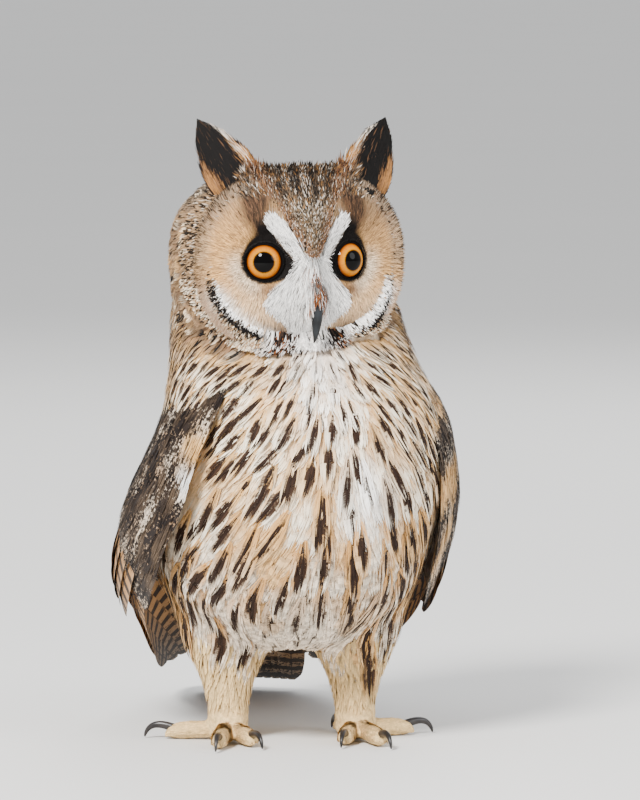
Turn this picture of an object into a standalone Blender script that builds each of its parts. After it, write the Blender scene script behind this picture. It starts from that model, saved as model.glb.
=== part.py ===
"""Long-eared owl, life size, standing on the floor with its head turned a little to its left.

The bird faces -Y, its left side is +X and the floor is z = 0. Lengths in the tables are millimetres and are
turned to metres by MM. The feathered outer surface is modelled: each vane of the wings, tail, ear tufts and
facial ruff is a thin closed blade that is joined to the piece it grows from. Pieces that touch keep a gap.
"""

import math
import random

import bmesh
import bpy
import numpy as np
from mathutils import Matrix, Vector

MM = 0.001
GAP = 0.35 * MM
# A swollen copy moves the vertices of a sharp edge at most this many times as far as those of a flat.
SHARPEST_SWELL = 1.6

# Head, measured from its centre: half widths of the feathered skull.
HEAD_CENTRE = (-5.0, -5.0, 205.0)
HEAD_TURN_DEG = 15.0
HEAD_HALF_WIDTH = 47.0
FACE_DEPTH = 30.0
NAPE_DEPTH = 44.0
CROWN_HEIGHT = 38.0
CHIN_DEPTH = 42.0
HEAD_BOXINESS = 2.45

# Facial disc: an outline round both eyes, with a raised rim, dished halves and a ridge between them.
DISC_HALF_WIDTH = 43.5
DISC_HALF_HEIGHT = 35.0
RIM_RISE = 2.2
DISH_DEPTH = 2.0
SOCKET_DEPTH = 3.6
RIDGE_RISE = 4.0
RIDGE_HALF_WIDTH = 7.0

# Eyes: the iris centres are this far from the head's mid plane and in front of its centre.
IRIS_SIDE = 19.0
IRIS_FORWARD = 25.0
IRIS_FROM_EYE_CENTRE = 8.0
EYE_RADIUS = 10.9
CORNEA_RISE = 1.7
EYE_SPLAY_DEG = 22.0
LID_THICKNESS = 1.3

# Body: half widths of the plumage at each height, from the belly to the neck inside the head.
# Height, front, back, half width.
BODY_SECTIONS = (
    (37.0, 24.0, 24.0, 0.0),
    (43.0, -15.0, 61.0, 33.0),
    (54.0, -35.0, 77.0, 46.0),
    (69.0, -47.0, 86.0, 55.5),
    (85.0, -54.0, 88.0, 60.5),
    (100.0, -58.0, 83.0, 62.5),
    (115.0, -59.0, 76.0, 62.0),
    (130.0, -58.0, 69.0, 60.0),
    (145.0, -53.0, 62.0, 57.0),
    (160.0, -42.0, 56.0, 52.5),
    (171.0, -30.0, 50.0, 50.0),
    (182.0, -14.0, 41.0, 48.0),
    (190.0, -2.0, 33.0, 42.0),
    (196.0, 14.0, 14.0, 0.0),
)
# Height, and how far the body's middle stands to the owl's left there: the breast to its left, the neck to
# its right.
BODY_LEAN = ((37.0, 0.0), (85.0, 0.0), (115.0, 3.0), (145.0, 3.0), (160.0, 0.5), (171.0, -1.2), (196.0, -3.5))
NECK_HEIGHT = 150.0

# Folded wing, left side: share of its length, then the leading edge and the edge on the back.
WING_EDGES = (
    (0.00, 34, -37, 153, 15, 44, 181),
    (0.10, 44, -43, 128, 20, 55, 163),
    (0.22, 52, -38, 100, 22, 63, 142),
    (0.36, 58, -18, 74, 22, 74, 116),
    (0.52, 58, 26, 52, 19, 90, 88),
    (0.70, 51, 76, 36, 14, 114, 62),
    (0.86, 42, 130, 22, 12, 144, 40),
    (1.00, 30, 182, 12, 14, 176, 21),
)
# How far each wing bows outward between those edges; it dips into the shoulder where it starts, and the right
# shoulder is held closer to the body.
WING_BOW = {
    "left": (
        (0.0, 10), (0.05, 14), (0.1, 20), (0.22, 27), (0.36, 31), (0.52, 26), (0.7, 16), (0.86, 9), (1.0, 3)
    ),
    "right": (
        (0.0, 12), (0.05, 15), (0.1, 18), (0.22, 21), (0.36, 25.5), (0.52, 26), (0.7, 17), (0.86, 9), (1.0, 3)
    ),
}
# Share of the wing's length, then how far outward and back its leading edge is tucked there.
WING_TUCK = {
    "left": (
        (0.0, 12, 12), (0.1, 13, 16), (0.22, 7.5, 18), (0.36, 0, 14), (0.52, 0, 5), (0.7, 0, 0), (1.0, 0, 0)
    ),
    "right": ((0.0, 0, 0), (1.0, 0, 0)),
}
WING_OUTWARD = (0.93, 0.12, 0.34)
WING_CORE = 2.4
WING_CORE_REACH = 0.53
# Row: count, tip (length, chord) of its first and its last vane, its length as a share of the wing's,
# half width, height of the tip over the core. Each vane tilts so that its front edge lies on its neighbour.
WING_ROWS = {
    "lesser_coverts": (6, (0.21, 0.08), (0.20, 0.92), 0.13, 8.4, 1.5),
    "greater_coverts": (7, (0.42, 0.17), (0.39, 0.95), 0.17, 8.0, 2.1),
    "primary_coverts": (3, (0.54, 0.01), (0.49, 0.14), 0.20, 5.0, 1.3),
    "alula": (2, (0.40, 0.00), (0.36, 0.07), 0.17, 3.8, 2.8),
    "secondaries": (8, (0.60, 0.15), (0.69, 0.85), 0.27, 8.0, 3.4),
    "tertials": (3, (0.64, 0.92), (0.55, 1.00), 0.25, 7.4, 4.6),
    "scapulars": (4, (0.14, 1.00), (0.44, 0.98), 0.16, 7.4, 3.4),
}
PRIMARY_TIPS = (
    (0.94, 0.03), (0.99, 0.26), (1.0, 0.52), (0.97, 0.72), (0.93, 0.83), (0.88, 0.90), (0.83, 0.95)
)
PRIMARY_HALF_WIDTH = 6.6
PRIMARY_LEVEL = 0.45
PRIMARY_PITCH = 6.5
ROOT_DEPTH = 1.2
TIP_SCATTER = 0.006
VANE_THICKNESS = 0.65
VANE_CLEARANCE = 0.35
# Half width of a vane at shares of its length, from its root to its blunt tip.
VANE_OUTLINE = ((0.0, 0.5), (0.33, 0.9), (0.67, 1.0), (0.85, 0.8), (1.0, 0.36))
# The right wing hangs a little further from the body than the left.
WING_DROOP = {"left": 0.0, "right": 4.0}
SIDES = {"left": 1.0, "right": -1.0}

# Tail centre line: share of its length, back, height, half width.
TAIL_LINE = ((0.0, 60, 80, 13), (0.35, 100, 53, 18), (0.7, 144, 24, 23), (1.0, 184, 3.0, 26))
TAIL_CORE = 4.4
TAIL_CORE_REACH = 0.42
RECTRICES = 12
RECTRIX_HALF_WIDTH = 6.2
RECTRIX_LEVEL = 0.95

# Facial ruff: vanes round the rim of the disc, from under the ear tuft down to the chin.
RUFF_VANES = 15
RUFF_FROM_DEG = 34.0
RUFF_TO_DEG = -108.0
RUFF_LENGTH_DEG = 14.0
RUFF_HALF_WIDTH_DEG = 6.4
NECK_CLEAR = 1.04

# Ear tufts, from the head's centre.
TUFT_BASE = {"left": (29.0, -17.0, 30.0), "right": (-26.0, -17.0, 30.0)}
TUFT_LEAN = {"left": (0.43, 0.40, 0.80), "right": (-0.39, 0.40, 0.80)}
# The way each tuft's flat side looks, in degrees from straight ahead towards the owl's left.
TUFT_FACING_DEG = {"left": -8.0, "right": -19.0}
TUFT_LENGTH = 43.0
TUFT_SUNK = 8.0
TUFT_HALF_WIDTH = 9.0
# Vane: place across the tuft as a share, length as a share, half width.
TUFT_VANES = (
    (-0.85, 0.66, 3.2), (-0.5, 0.84, 3.5), (-0.18, 0.97, 3.6),
    (0.12, 1.0, 3.6), (0.45, 0.86, 3.5), (0.8, 0.68, 3.2),
)
TUFT_LEVEL = 1.05

FOOT_SIDE = 27.0
FOOT_BACK = 12.0
LEG_SECTIONS = ((60, 14, 22), (48, 14, 21), (36, 14, 16.5), (26, 13, 11.8), (17, 12, 9.2), (9.5, 12, 8.6))
# Toe: heading in degrees from straight ahead towards the outside, length, radius.
TOES = {"inner": (-16, 29, 4.1), "middle": (13, 35, 4.2), "outer": (105, 27, 3.9), "hind": (-168, 21, 3.9)}
CLAW_LENGTH = 14.0
CLAW_RADIUS = 1.9

COLOURS = {
    "plumage_buff": (0.55, 0.38, 0.24),
    "plumage_face": (0.62, 0.42, 0.26),
    "plumage_wing": (0.24, 0.17, 0.12),
    "tuft_black": (0.06, 0.045, 0.04),
    "eye_orange": (0.85, 0.33, 0.02),
    "lid_black": (0.02, 0.017, 0.016),
    "bill_horn": (0.055, 0.06, 0.065),
    "claw_horn": (0.03, 0.028, 0.028),
    "leg_buff": (0.66, 0.47, 0.29),
}
GLOSSY = {"eye_orange": 0.08, "bill_horn": 0.35, "claw_horn": 0.3}


def clear_scene():
    for obj in list(bpy.data.objects):
        bpy.data.objects.remove(obj)


def make_collection(name):
    made = bpy.data.collections.new(name)
    bpy.context.scene.collection.children.link(made)
    return made


def material(name):
    """A Principled finish of the named colour, made once."""
    found = bpy.data.materials.get(name)
    if found:
        return found
    made = bpy.data.materials.new(name)
    made.use_nodes = True
    shader = made.node_tree.nodes["Principled BSDF"]
    shader.inputs["Base Color"].default_value = (*COLOURS[name], 1.0)
    shader.inputs["Roughness"].default_value = GLOSSY.get(name, 0.85)
    shader.inputs["Metallic"].default_value = 0.0
    return made


def smooth(stations, at):
    """Values at the positions `at` on a smooth curve through stations, whose first column is the position."""
    table = np.array(stations, float)
    place, value = table[:, 0], table[:, 1:]
    slope = np.gradient(value, place, axis=0)
    at = np.clip(np.asarray(at, float), place[0], place[-1])
    k = np.clip(np.searchsorted(place, at) - 1, 0, len(place) - 2)
    step = place[k + 1] - place[k]
    t = ((at - place[k]) / step)[..., None]
    step = step[..., None]
    return (
        value[k] * (1 + 2 * t) * (1 - t) ** 2
        + slope[k] * step * t * (1 - t) ** 2
        + value[k + 1] * t * t * (3 - 2 * t)
        + slope[k + 1] * step * t * t * (t - 1)
    )


def unit(vectors):
    return vectors / np.maximum(np.linalg.norm(vectors, axis=-1, keepdims=True), 1e-12)


def object_from(name, bm, finish, collection):
    mesh = bpy.data.meshes.new(name)
    bm.to_mesh(mesh)
    bm.free()
    obj = bpy.data.objects.new(name, mesh)
    obj.data.materials.append(material(finish))
    collection.objects.link(obj)
    return obj


def bake_modifiers(obj):
    """Replaces the object's mesh by its evaluated one and drops the modifiers."""
    bpy.context.view_layer.update()
    graph = bpy.context.evaluated_depsgraph_get()
    mesh = bpy.data.meshes.new_from_object(obj.evaluated_get(graph))
    finish = obj.data.materials[0]
    obj.modifiers.clear()
    obj.data = mesh
    obj.data.materials.clear()
    obj.data.materials.append(finish)


def keep_largest(obj):
    """Keeps the closed surface that holds the most, which drops loose scraps and fills sealed hollows."""
    bm = bmesh.new()
    bm.from_mesh(obj.data)
    bmesh.ops.triangulate(bm, faces=bm.faces)
    left = set(bm.faces)
    shells = []
    while left:
        shell, reach = set(), [left.pop()]
        while reach:
            face = reach.pop()
            shell.add(face)
            near = {f for e in face.edges for f in e.link_faces} & left
            left -= near
            reach.extend(near)
        corners = [[v.co for v in f.verts] for f in shell]
        shells.append((sum(a.dot(b.cross(c)) for a, b, c in corners), shell))
    largest = max(shells, key=lambda pair: pair[0])[1]
    bmesh.ops.delete(bm, geom=[f for f in bm.faces if f not in largest], context="FACES")
    bmesh.ops.delete(bm, geom=[v for v in bm.verts if not v.link_faces], context="VERTS")
    bm.to_mesh(obj.data)
    bm.free()


def boolean(obj, others, operation, solver="MANIFOLD"):
    """Joins or cuts obj with a list of closed objects, which are used up."""
    group = make_collection("boolean")
    for other in others:
        for holder in list(other.users_collection):
            holder.objects.unlink(other)
        group.objects.link(other)
    step = obj.modifiers.new("boolean", "BOOLEAN")
    step.operation = operation
    step.operand_type = "COLLECTION"
    step.collection = group
    step.solver = solver
    bake_modifiers(obj)
    for other in list(group.objects):
        bpy.data.objects.remove(other)
    bpy.data.collections.remove(group)
    keep_largest(obj)


def swollen(obj, by):
    """A copy whose surface stands `by` further out, to cut what must stay clear of obj."""
    copy = bpy.data.objects.new(obj.name + "_swollen", obj.data.copy())
    cutters.objects.link(copy)
    bm = bmesh.new()
    bm.from_mesh(copy.data)
    bm.normal_update()
    moves = [v.normal * (min(v.calc_shell_factor(), SHARPEST_SWELL) * by) for v in bm.verts]
    for vert, move in zip(bm.verts, moves):
        vert.co += move
    bm.to_mesh(copy.data)
    bm.free()
    return copy


def box(name, low, high, finish="plumage_buff"):
    """A closed box between two corners in millimetres."""
    bm = bmesh.new()
    bmesh.ops.create_cube(bm, size=1.0)
    low, high = np.array(low, float), np.array(high, float)
    for vert in bm.verts:
        vert.co = Vector((low + (np.array(vert.co) + 0.5) * (high - low)) * MM)
    return object_from(name, bm, finish, cutters)


def sphere_shaped(name, around, down, shape, finish, collection, pole="Z"):
    """A UV sphere whose unit directions are carried to points in millimetres by shape."""
    bm = bmesh.new()
    bmesh.ops.create_uvsphere(bm, u_segments=around, v_segments=down, radius=1.0)
    if pole == "Y":
        bmesh.ops.rotate(bm, verts=bm.verts, matrix=Matrix.Rotation(math.pi / 2, 3, "X"))
    directions = unit(np.array([v.co[:] for v in bm.verts]))
    for vert, point in zip(bm.verts, shape(directions) * MM):
        vert.co = Vector(point)
    bmesh.ops.triangulate(bm, faces=bm.faces)
    bmesh.ops.recalc_face_normals(bm, faces=bm.faces)
    return object_from(name, bm, finish, collection)


def tube(name, points, radii, finish, collection, sides=2, flatten=1.0):
    """A round bar along points in millimetres, as a bevelled curve with filled caps made a mesh."""
    data = bpy.data.curves.new(name, "CURVE")
    data.dimensions = "3D"
    data.bevel_depth = 1.0
    data.bevel_resolution = sides
    data.use_fill_caps = True
    spline = data.splines.new("POLY")
    spline.points.add(len(points) - 1)
    for knot, point, radius in zip(spline.points, points, radii):
        knot.co = (*(np.array(point, float) * MM), 1.0)
        knot.radius = radius * MM
    curve = bpy.data.objects.new(name + "_curve", data)
    collection.objects.link(curve)
    bpy.context.view_layer.update()
    graph = bpy.context.evaluated_depsgraph_get()
    mesh = bpy.data.meshes.new_from_object(curve.evaluated_get(graph))
    bpy.data.objects.remove(curve)
    bm = bmesh.new()
    bm.from_mesh(mesh)
    bmesh.ops.remove_doubles(bm, verts=bm.verts, dist=0.01 * MM)
    middle = np.mean(np.array(points, float), axis=0) * MM
    for vert in bm.verts:
        vert.co.x = middle[0] + (vert.co.x - middle[0]) * flatten
    bmesh.ops.triangulate(bm, faces=bm.faces)
    bmesh.ops.recalc_face_normals(bm, faces=bm.faces)
    made = object_from(name, bm, finish, collection)
    return made


def sheet_solid(name, across, along, place, thickness, finish, collection):
    """A grid whose (across, along) shares run 0 to 1, carried to millimetres by place, then thickened.
    The grid is split into triangles first, so that both faces are split alike."""
    bm = bmesh.new()
    bmesh.ops.create_grid(bm, x_segments=across, y_segments=along, size=0.5)
    shares = np.array([v.co[:2] for v in bm.verts]) + 0.5
    for vert, point in zip(bm.verts, place(shares[:, 0], shares[:, 1]) * MM):
        vert.co = Vector(point)
    bmesh.ops.triangulate(bm, faces=bm.faces)
    sheet = object_from(name, bm, finish, collection)
    wall = sheet.modifiers.new("thickness", "SOLIDIFY")
    wall.thickness = thickness * MM
    wall.offset = 0.0
    wall.use_even_offset = True
    bake_modifiers(sheet)
    bm = bmesh.new()
    bm.from_mesh(sheet.data)
    bmesh.ops.triangulate(bm, faces=bm.faces)
    bmesh.ops.recalc_face_normals(bm, faces=bm.faces)
    bm.to_mesh(sheet.data)
    bm.free()
    return sheet


def blade(carry, half_width, segments, finish, slope=0.0):
    """One vane: carry takes the share of its length, the distance across and the lift to a point."""

    def place(across, along):
        side = 2 * across - 1
        width = half_width * np.interp(along, *np.array(VANE_OUTLINE).T)
        return carry(along, side * width, -slope * side * width)

    return sheet_solid("vane", 1, segments, place, VANE_THICKNESS, finish, cutters)


# Body and neck


def body_shape(directions):
    """Heights follow the direction's tilt; each level section is an oval with its own three measures."""
    low, high = BODY_SECTIONS[0][0], BODY_SECTIONS[-1][0]
    stations = [
        (math.degrees(math.acos(np.clip(1 - 2 * (s[0] - low) / (high - low), -1, 1))), *s[1:])
        for s in BODY_SECTIONS
    ]
    climb = np.degrees(np.arccos(np.clip(-directions[:, 2], -1, 1)))
    front, back, half = smooth(stations, climb).T
    height = low + (high - low) * (1 + directions[:, 2]) / 2
    level = unit(directions[:, :2] + 1e-9)
    x = half * level[:, 0] + smooth(BODY_LEAN, height)[:, 0]
    y = (front + back) / 2 + (back - front) / 2 * level[:, 1]
    return np.stack([x, y, height], 1)


def make_body():
    """Torso and neck are one surface, parted level, and the neck is hollowed to take the head."""
    torso = sphere_shaped("torso", 28, 21, body_shape, "plumage_buff", parts)
    neck = bpy.data.objects.new("neck", torso.data.copy())
    parts.objects.link(neck)
    boolean(torso, [box("above", (-150, -150, NECK_HEIGHT), (150, 150, 300))], "DIFFERENCE")
    boolean(neck, [box("below", (-150, -150, -50), (150, 150, NECK_HEIGHT + 0.35))], "DIFFERENCE")
    return torso, neck


# Head


# Carries the head's millimetres to the bird's, and its metres to the bird's.
HEAD_MM = Matrix.Translation(Vector(HEAD_CENTRE)) @ Matrix.Rotation(math.radians(HEAD_TURN_DEG), 4, "Z")
HEAD = Matrix.Translation(Vector(HEAD_CENTRE) * MM) @ Matrix.Rotation(math.radians(HEAD_TURN_DEG), 4, "Z")


def disc_share(points):
    """0 at the middle of the face and 1 on the rim of the facial disc."""
    across = np.abs(points[:, 0]) / DISC_HALF_WIDTH
    up = np.abs(points[:, 2]) / DISC_HALF_HEIGHT
    return (across**2.4 + up**2.4) ** (1 / 2.4)


def bell(distance, width):
    return np.exp(-((distance / width) ** 2))


def head_shape(directions):
    """A boxy ellipsoid of unlike halves, with the disc's rim, its two dishes and a ridge between the eyes."""
    depth = np.where(directions[:, 1] < 0, FACE_DEPTH, NAPE_DEPTH)
    height = np.where(directions[:, 2] > 0, CROWN_HEIGHT, CHIN_DEPTH)
    reach = (
        (np.abs(directions[:, 0]) / HEAD_HALF_WIDTH) ** HEAD_BOXINESS
        + (np.abs(directions[:, 1]) / depth) ** HEAD_BOXINESS
        + (np.abs(directions[:, 2]) / height) ** HEAD_BOXINESS
    ) ** (-1 / HEAD_BOXINESS)
    points = directions * reach[:, None]
    x, z = points[:, 0], points[:, 2]
    front = np.clip(-points[:, 1] / 12.0, 0, 1)
    share = disc_share(points)
    rim = RIM_RISE * bell(share - 1.0, 0.09)
    dish = DISH_DEPTH * bell(np.hypot((np.abs(x) - 30.0) / 11.0, (z + 1.0) / 20.0), 1.0)
    dish += SOCKET_DEPTH * bell(np.hypot((np.abs(x) - IRIS_SIDE - 1.5) / 9.5, z / 11.0), 1.0)
    ridge = RIDGE_RISE * bell(x, RIDGE_HALF_WIDTH) * bell(z - 4.0, 24.0)
    lift = (rim + ridge - dish) * front
    points[:, 1] -= lift
    return points


def head_surface(turn, tilt):
    """Point of the head: turn runs round the face's axis from the left side up, tilt out from that axis."""
    turn, tilt = np.broadcast_arrays(np.radians(turn), np.radians(tilt))
    ways = np.stack([np.sin(tilt) * np.cos(turn), -np.cos(tilt), np.sin(tilt) * np.sin(turn)], -1)
    return head_shape(ways.reshape(-1, 3)).reshape(ways.shape)


def head_normal(turn, tilt):
    step = 1.5
    round_face = head_surface(turn + step, tilt) - head_surface(turn - step, tilt)
    outward = head_surface(turn, tilt + step) - head_surface(turn, tilt - step)
    return unit(np.cross(outward, round_face))


def rim_tilt(turn):
    """The tilt at which the direction `turn` meets the rim of the disc."""
    tilts = np.linspace(25, 100, 301)
    shares = disc_share(head_surface(np.full_like(tilts, turn), tilts))
    return float(tilts[np.argmin(np.abs(shares - 1.0))])


def ruff_vane(turn):
    """A short vane from the rim backward over the side of the head, its tip a little proud."""
    start = rim_tilt(turn) - 3.0

    def carry(along, across, lift):
        tilt = start + RUFF_LENGTH_DEG * along
        at = turn + across
        height = -ROOT_DEPTH + (1.9 + ROOT_DEPTH) * along**0.8 + lift
        return head_surface(at, tilt) + head_normal(at, tilt) * height[..., None]

    return blade(carry, RUFF_HALF_WIDTH_DEG, 2, "plumage_face", slope=0.1)


def stands_clear(turn):
    """Whether the tip of the ruff vane at this turn is outside the neck's plumage."""
    x, y, z = HEAD_MM @ Vector(head_surface(turn, rim_tilt(turn) + RUFF_LENGTH_DEG))
    table = np.array(BODY_SECTIONS)
    front, back, half = (np.interp(z, table[:, 0], table[:, k], right=0.0) for k in (1, 2, 3))
    x -= float(smooth(BODY_LEAN, z)[0])
    return math.hypot(x / (half + 1), (y - (front + back) / 2) / ((back - front) / 2 + 1)) > NECK_CLEAR


def make_head(neck):
    """The neck is hollowed to take the bare head, then the ruff grows where it stands clear of the neck."""
    head = sphere_shaped("head", 30, 22, head_shape, "plumage_face", parts, pole="Y")
    head.data.transform(HEAD)
    boolean(neck, [swollen(head, GAP)], "DIFFERENCE")
    turns = np.linspace(RUFF_FROM_DEG, RUFF_TO_DEG, RUFF_VANES)
    vanes = [ruff_vane(turn) for turn in (*turns, *(180.0 - turns)) if stands_clear(turn)]
    for vane in vanes:
        vane.data.transform(HEAD)
    boolean(head, vanes, "UNION")
    return head


def eye_frame(side):
    """The eye's centre and its axes: local Z looks out of the pupil."""
    splay = math.radians(EYE_SPLAY_DEG) * side
    outward = Vector((math.sin(splay), -math.cos(splay), 0.0))
    iris = Vector((IRIS_SIDE * side, -IRIS_FORWARD, 0.0))
    centre = iris - outward * IRIS_FROM_EYE_CENTRE
    turn = outward.to_track_quat("Z", "Y").to_matrix().to_4x4()
    return HEAD @ Matrix.Translation(centre * MM) @ turn


def eye_shape(directions):
    """A ball with the clear dome of the cornea standing up from it over the iris."""
    off_axis = np.degrees(np.arccos(np.clip(directions[:, 2], -1, 1)))
    dome = CORNEA_RISE * np.clip(1 - (off_axis / 44.0) ** 2, 0, 1)
    return directions * (EYE_RADIUS + dome)[:, None]


def lid_ring(name, swell):
    """A ring turned about the eye's axis: the bare dark lid edge that frames the iris."""
    inner = EYE_RADIUS + 0.35 - swell
    outer = inner + LID_THICKNESS + 2 * swell
    spread = swell / EYE_RADIUS
    start, end = math.radians(42) - spread, math.radians(60) + spread
    lip = inner + 0.45 * (outer - inner)
    corners = [(outer, end), (outer, start + 0.06), (lip, start), (inner, start), (inner, end)]
    bm = bmesh.new()
    verts = [bm.verts.new((r * math.sin(a) * MM, 0, r * math.cos(a) * MM)) for r, a in corners]
    for a, b in zip(verts, verts[1:] + verts[:1]):
        bm.edges.new((a, b))
    ring = object_from(name, bm, "lid_black", cutters if swell else parts)
    turn = ring.modifiers.new("turn", "SCREW")
    turn.steps = 20
    turn.render_steps = 20
    turn.use_merge_vertices = True
    turn.merge_threshold = 0.00001
    bake_modifiers(ring)
    bm = bmesh.new()
    bm.from_mesh(ring.data)
    bmesh.ops.recalc_face_normals(bm, faces=bm.faces)
    bm.to_mesh(ring.data)
    bm.free()
    return ring


def make_eyes(head):
    for word, side in SIDES.items():
        frame = eye_frame(side)
        eye = sphere_shaped("eye_" + word, 16, 9, eye_shape, "eye_orange", parts)
        lid = lid_ring("eyelid_" + word, 0.0)
        groove = lid_ring("groove_" + word, GAP / MM)
        for piece in (eye, lid, groove):
            piece.data.transform(frame)
        boolean(head, [swollen(eye, GAP)], "DIFFERENCE")
        boolean(head, [groove], "DIFFERENCE")


def make_bill(head):
    """Hooked upper bill with its ridge forward, and the shorter lower bill closed behind it."""
    upper = tube(
        "bill_upper",
        [
            (0, -20, -2), (0, -29, -7), (0, -34, -14), (0, -36.2, -20), (0, -36.2, -26), (0, -34.8, -31),
            (0, -33.2, -33.6),
        ],
        [5.4, 5.2, 4.4, 3.5, 2.4, 1.2, 0.3],
        "bill_horn", parts, sides=2, flatten=0.86,
    )
    lower = tube(
        "bill_lower",
        [(0, -18, -13), (0, -24.5, -18), (0, -28.5, -23.5), (0, -30.4, -28)],
        [4.4, 4.0, 2.9, 1.1],
        "bill_horn", parts, sides=2, flatten=0.8,
    )
    for side in SIDES.values():
        ends = [(2.2 * side, -34.5, -12.0), (6.5 * side, -32.6, -12.6)]
        nostril = tube("nostril", ends, [0.8, 0.8], "bill_horn", cutters)
        boolean(upper, [nostril], "DIFFERENCE")
    boolean(lower, [swollen(upper, GAP)], "DIFFERENCE")
    for piece in (upper, lower):
        piece.data.transform(HEAD)
        boolean(piece, [swollen(head, GAP)], "DIFFERENCE")


# Wings


def wing_surface(length, chord, word="left"):
    """A wing as a left one: straight across from the leading edge (chord 0) to the back edge (chord 1), bowed
    outward by the named side's bow."""
    edges = smooth(WING_EDGES, length)
    lead, back = edges[..., :3], edges[..., 3:]
    lead[..., :2] += smooth(WING_TUCK[word], length)
    bow = smooth(WING_BOW[word], length)
    outward = unit(np.array(WING_OUTWARD))
    arch = 4 * chord * (1 - chord)
    return lead + (back - lead) * chord[..., None] + outward * bow * arch[..., None]


def wing_normal(length, chord, word):
    """Outward normal of the wing surface from its two slopes."""
    step = 0.01
    inside = np.clip(length, 0.02, 0.98)
    along = wing_surface(inside + step, chord, word) - wing_surface(inside - step, chord, word)
    across = wing_surface(inside, chord + step, word) - wing_surface(inside, chord - step, word)
    return unit(np.cross(along, across))


def wing_place(word):
    """Carries (length, chord, lift) to a point of the named wing."""
    side, droop = SIDES[word], WING_DROOP[word]

    def place(length, chord, lift):
        normal = wing_normal(length, chord, word)
        point = wing_surface(length, chord, word) + normal * np.asarray(lift)[..., None]
        point[..., 0] += droop * np.clip(length / 0.5, 0, 1.3)
        point[..., 0] *= side
        return point

    return place


def wing_vane(place, root, tip, half_width, height, segments, pitch):
    """A vane from its root in the core to its tip, both given as (length, chord). Its tilt keeps it clear of
    the next vane of its row, which is pitch millimetres away."""
    slope = (VANE_THICKNESS + VANE_CLEARANCE) / pitch

    def carry(along, across, lift):
        length = root[0] + (tip[0] - root[0]) * along
        chord = root[1] + (tip[1] - root[1]) * along
        step = 0.01
        span = wing_surface(length, chord + step) - wing_surface(length, chord - step)
        millimetres = np.linalg.norm(span, axis=-1)
        rise = -ROOT_DEPTH + (height + ROOT_DEPTH) * along**0.85
        return place(length, chord + across * 2 * step / millimetres, rise + lift)

    return blade(carry, half_width, segments, "plumage_wing", slope)


def make_wing(word):
    """The flesh and feather bases as a curved slab, with every row of vanes growing out of it."""
    place = wing_place(word)

    def core(across, along):
        length = along * WING_CORE_REACH
        return place(length, 0.02 + 0.96 * across, np.full_like(length, -WING_CORE / 2))

    wing = sheet_solid("wing_" + word, 6, 7, core, WING_CORE, "plumage_wing", parts)
    vanes = []
    for number, tip in enumerate(PRIMARY_TIPS):
        root = (WING_CORE_REACH - 0.08, 0.04 + 0.32 * tip[1])
        height = PRIMARY_LEVEL * (number - 4)
        vanes.append(wing_vane(place, root, tip, PRIMARY_HALF_WIDTH, height, 6, PRIMARY_PITCH))
    for name, (count, first, last, reach, half_width, height) in WING_ROWS.items():
        tips = np.linspace(first, last, count)
        pitch = np.linalg.norm(np.diff(wing_surface(tips[:2, 0], tips[:2, 1]), axis=0))
        for tip in tips:
            tip[0] += TIP_SCATTER * rng.uniform(-1, 1)
            root = (max(tip[0] - reach, 0.0), tip[1] * 0.94 + 0.02)
            segments = 4 if reach > 0.22 else 2
            vanes.append(wing_vane(place, root, tip, half_width, height, segments, pitch))
    boolean(wing, vanes, "UNION")
    return wing


def make_wings(torso, neck, tail):
    for word in SIDES:
        wing = make_wing(word)
        for near in (torso, neck, tail):
            boolean(wing, [swollen(near, GAP)], "DIFFERENCE")


# Tail


def tail_place(length, side_share, lift):
    """Point of the tail: its centre line, spread sideways and arched a little across."""
    back, height, half = smooth(TAIL_LINE, length).T
    x = half * side_share
    droop = 2.4 * side_share**2 * np.clip(length * 2, 0, 1) * np.clip(1.25 - length, 0.25, 1)
    return np.stack([x, back, height - droop + lift], -1)


def rectrix(number):
    """A tail vane: the middle pair lies on top and each one outward lies a level lower and ends sooner."""
    from_middle = number - (RECTRICES - 1) / 2
    outward = abs(from_middle) - 0.5
    spread = 0.84 * from_middle / (RECTRICES / 2)
    level = RECTRIX_LEVEL * (2.4 - outward)
    tip = 1.0 - 0.012 * outward

    def carry(along, across, lift):
        length = 0.18 + (tip - 0.18) * along
        half = smooth(TAIL_LINE, length)[..., 2]
        return tail_place(length, spread * (0.55 + 0.45 * along) + across / half, level * along + lift)

    return blade(carry, RECTRIX_HALF_WIDTH, 4, "plumage_wing")


def make_tail(torso):
    def core(across, along):
        return tail_place(TAIL_CORE_REACH * along, 2 * across - 1, 0 * along)

    tail = sheet_solid("tail", 6, 4, core, TAIL_CORE, "plumage_wing", parts)
    boolean(tail, [rectrix(number) for number in range(RECTRICES)], "UNION")
    boolean(tail, [swollen(torso, GAP)], "DIFFERENCE")
    boolean(tail, [box("floor", (-200, -200, -60), (200, 300, 0))], "DIFFERENCE")
    return tail


# Ear tufts


def tuft_place(word):
    lean = unit(np.array(TUFT_LEAN[word]))
    face = math.radians(TUFT_FACING_DEG[word])
    across_tuft = unit(np.cross((math.sin(face), -math.cos(face), 0.0), lean))
    forward = np.cross(lean, across_tuft)
    base = np.array(TUFT_BASE[word]) - lean * TUFT_SUNK

    def place(along, across, lift):
        """Distances in millimetres along the tuft, across it and forward."""
        return (
            base
            + lean * np.asarray(along)[..., None]
            + across_tuft * np.asarray(across)[..., None]
            + forward * (lift - 0.03 * np.asarray(across) ** 2)[..., None]
        )

    return place


def tuft_vane(place, level, share, reach, half_width):
    """A vane of the tuft: side ones start further out and lean in to the tip, each on a level of its own."""

    def carry(along, across, lift):
        middle = TUFT_HALF_WIDTH * share * (1.0 - 0.62 * along**1.6)
        bow = 2.2 * share * np.sin(np.pi * along)
        return place(TUFT_LENGTH * reach * along, middle + bow + across, lift + level)

    return blade(carry, half_width, 4, "tuft_black")


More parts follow.
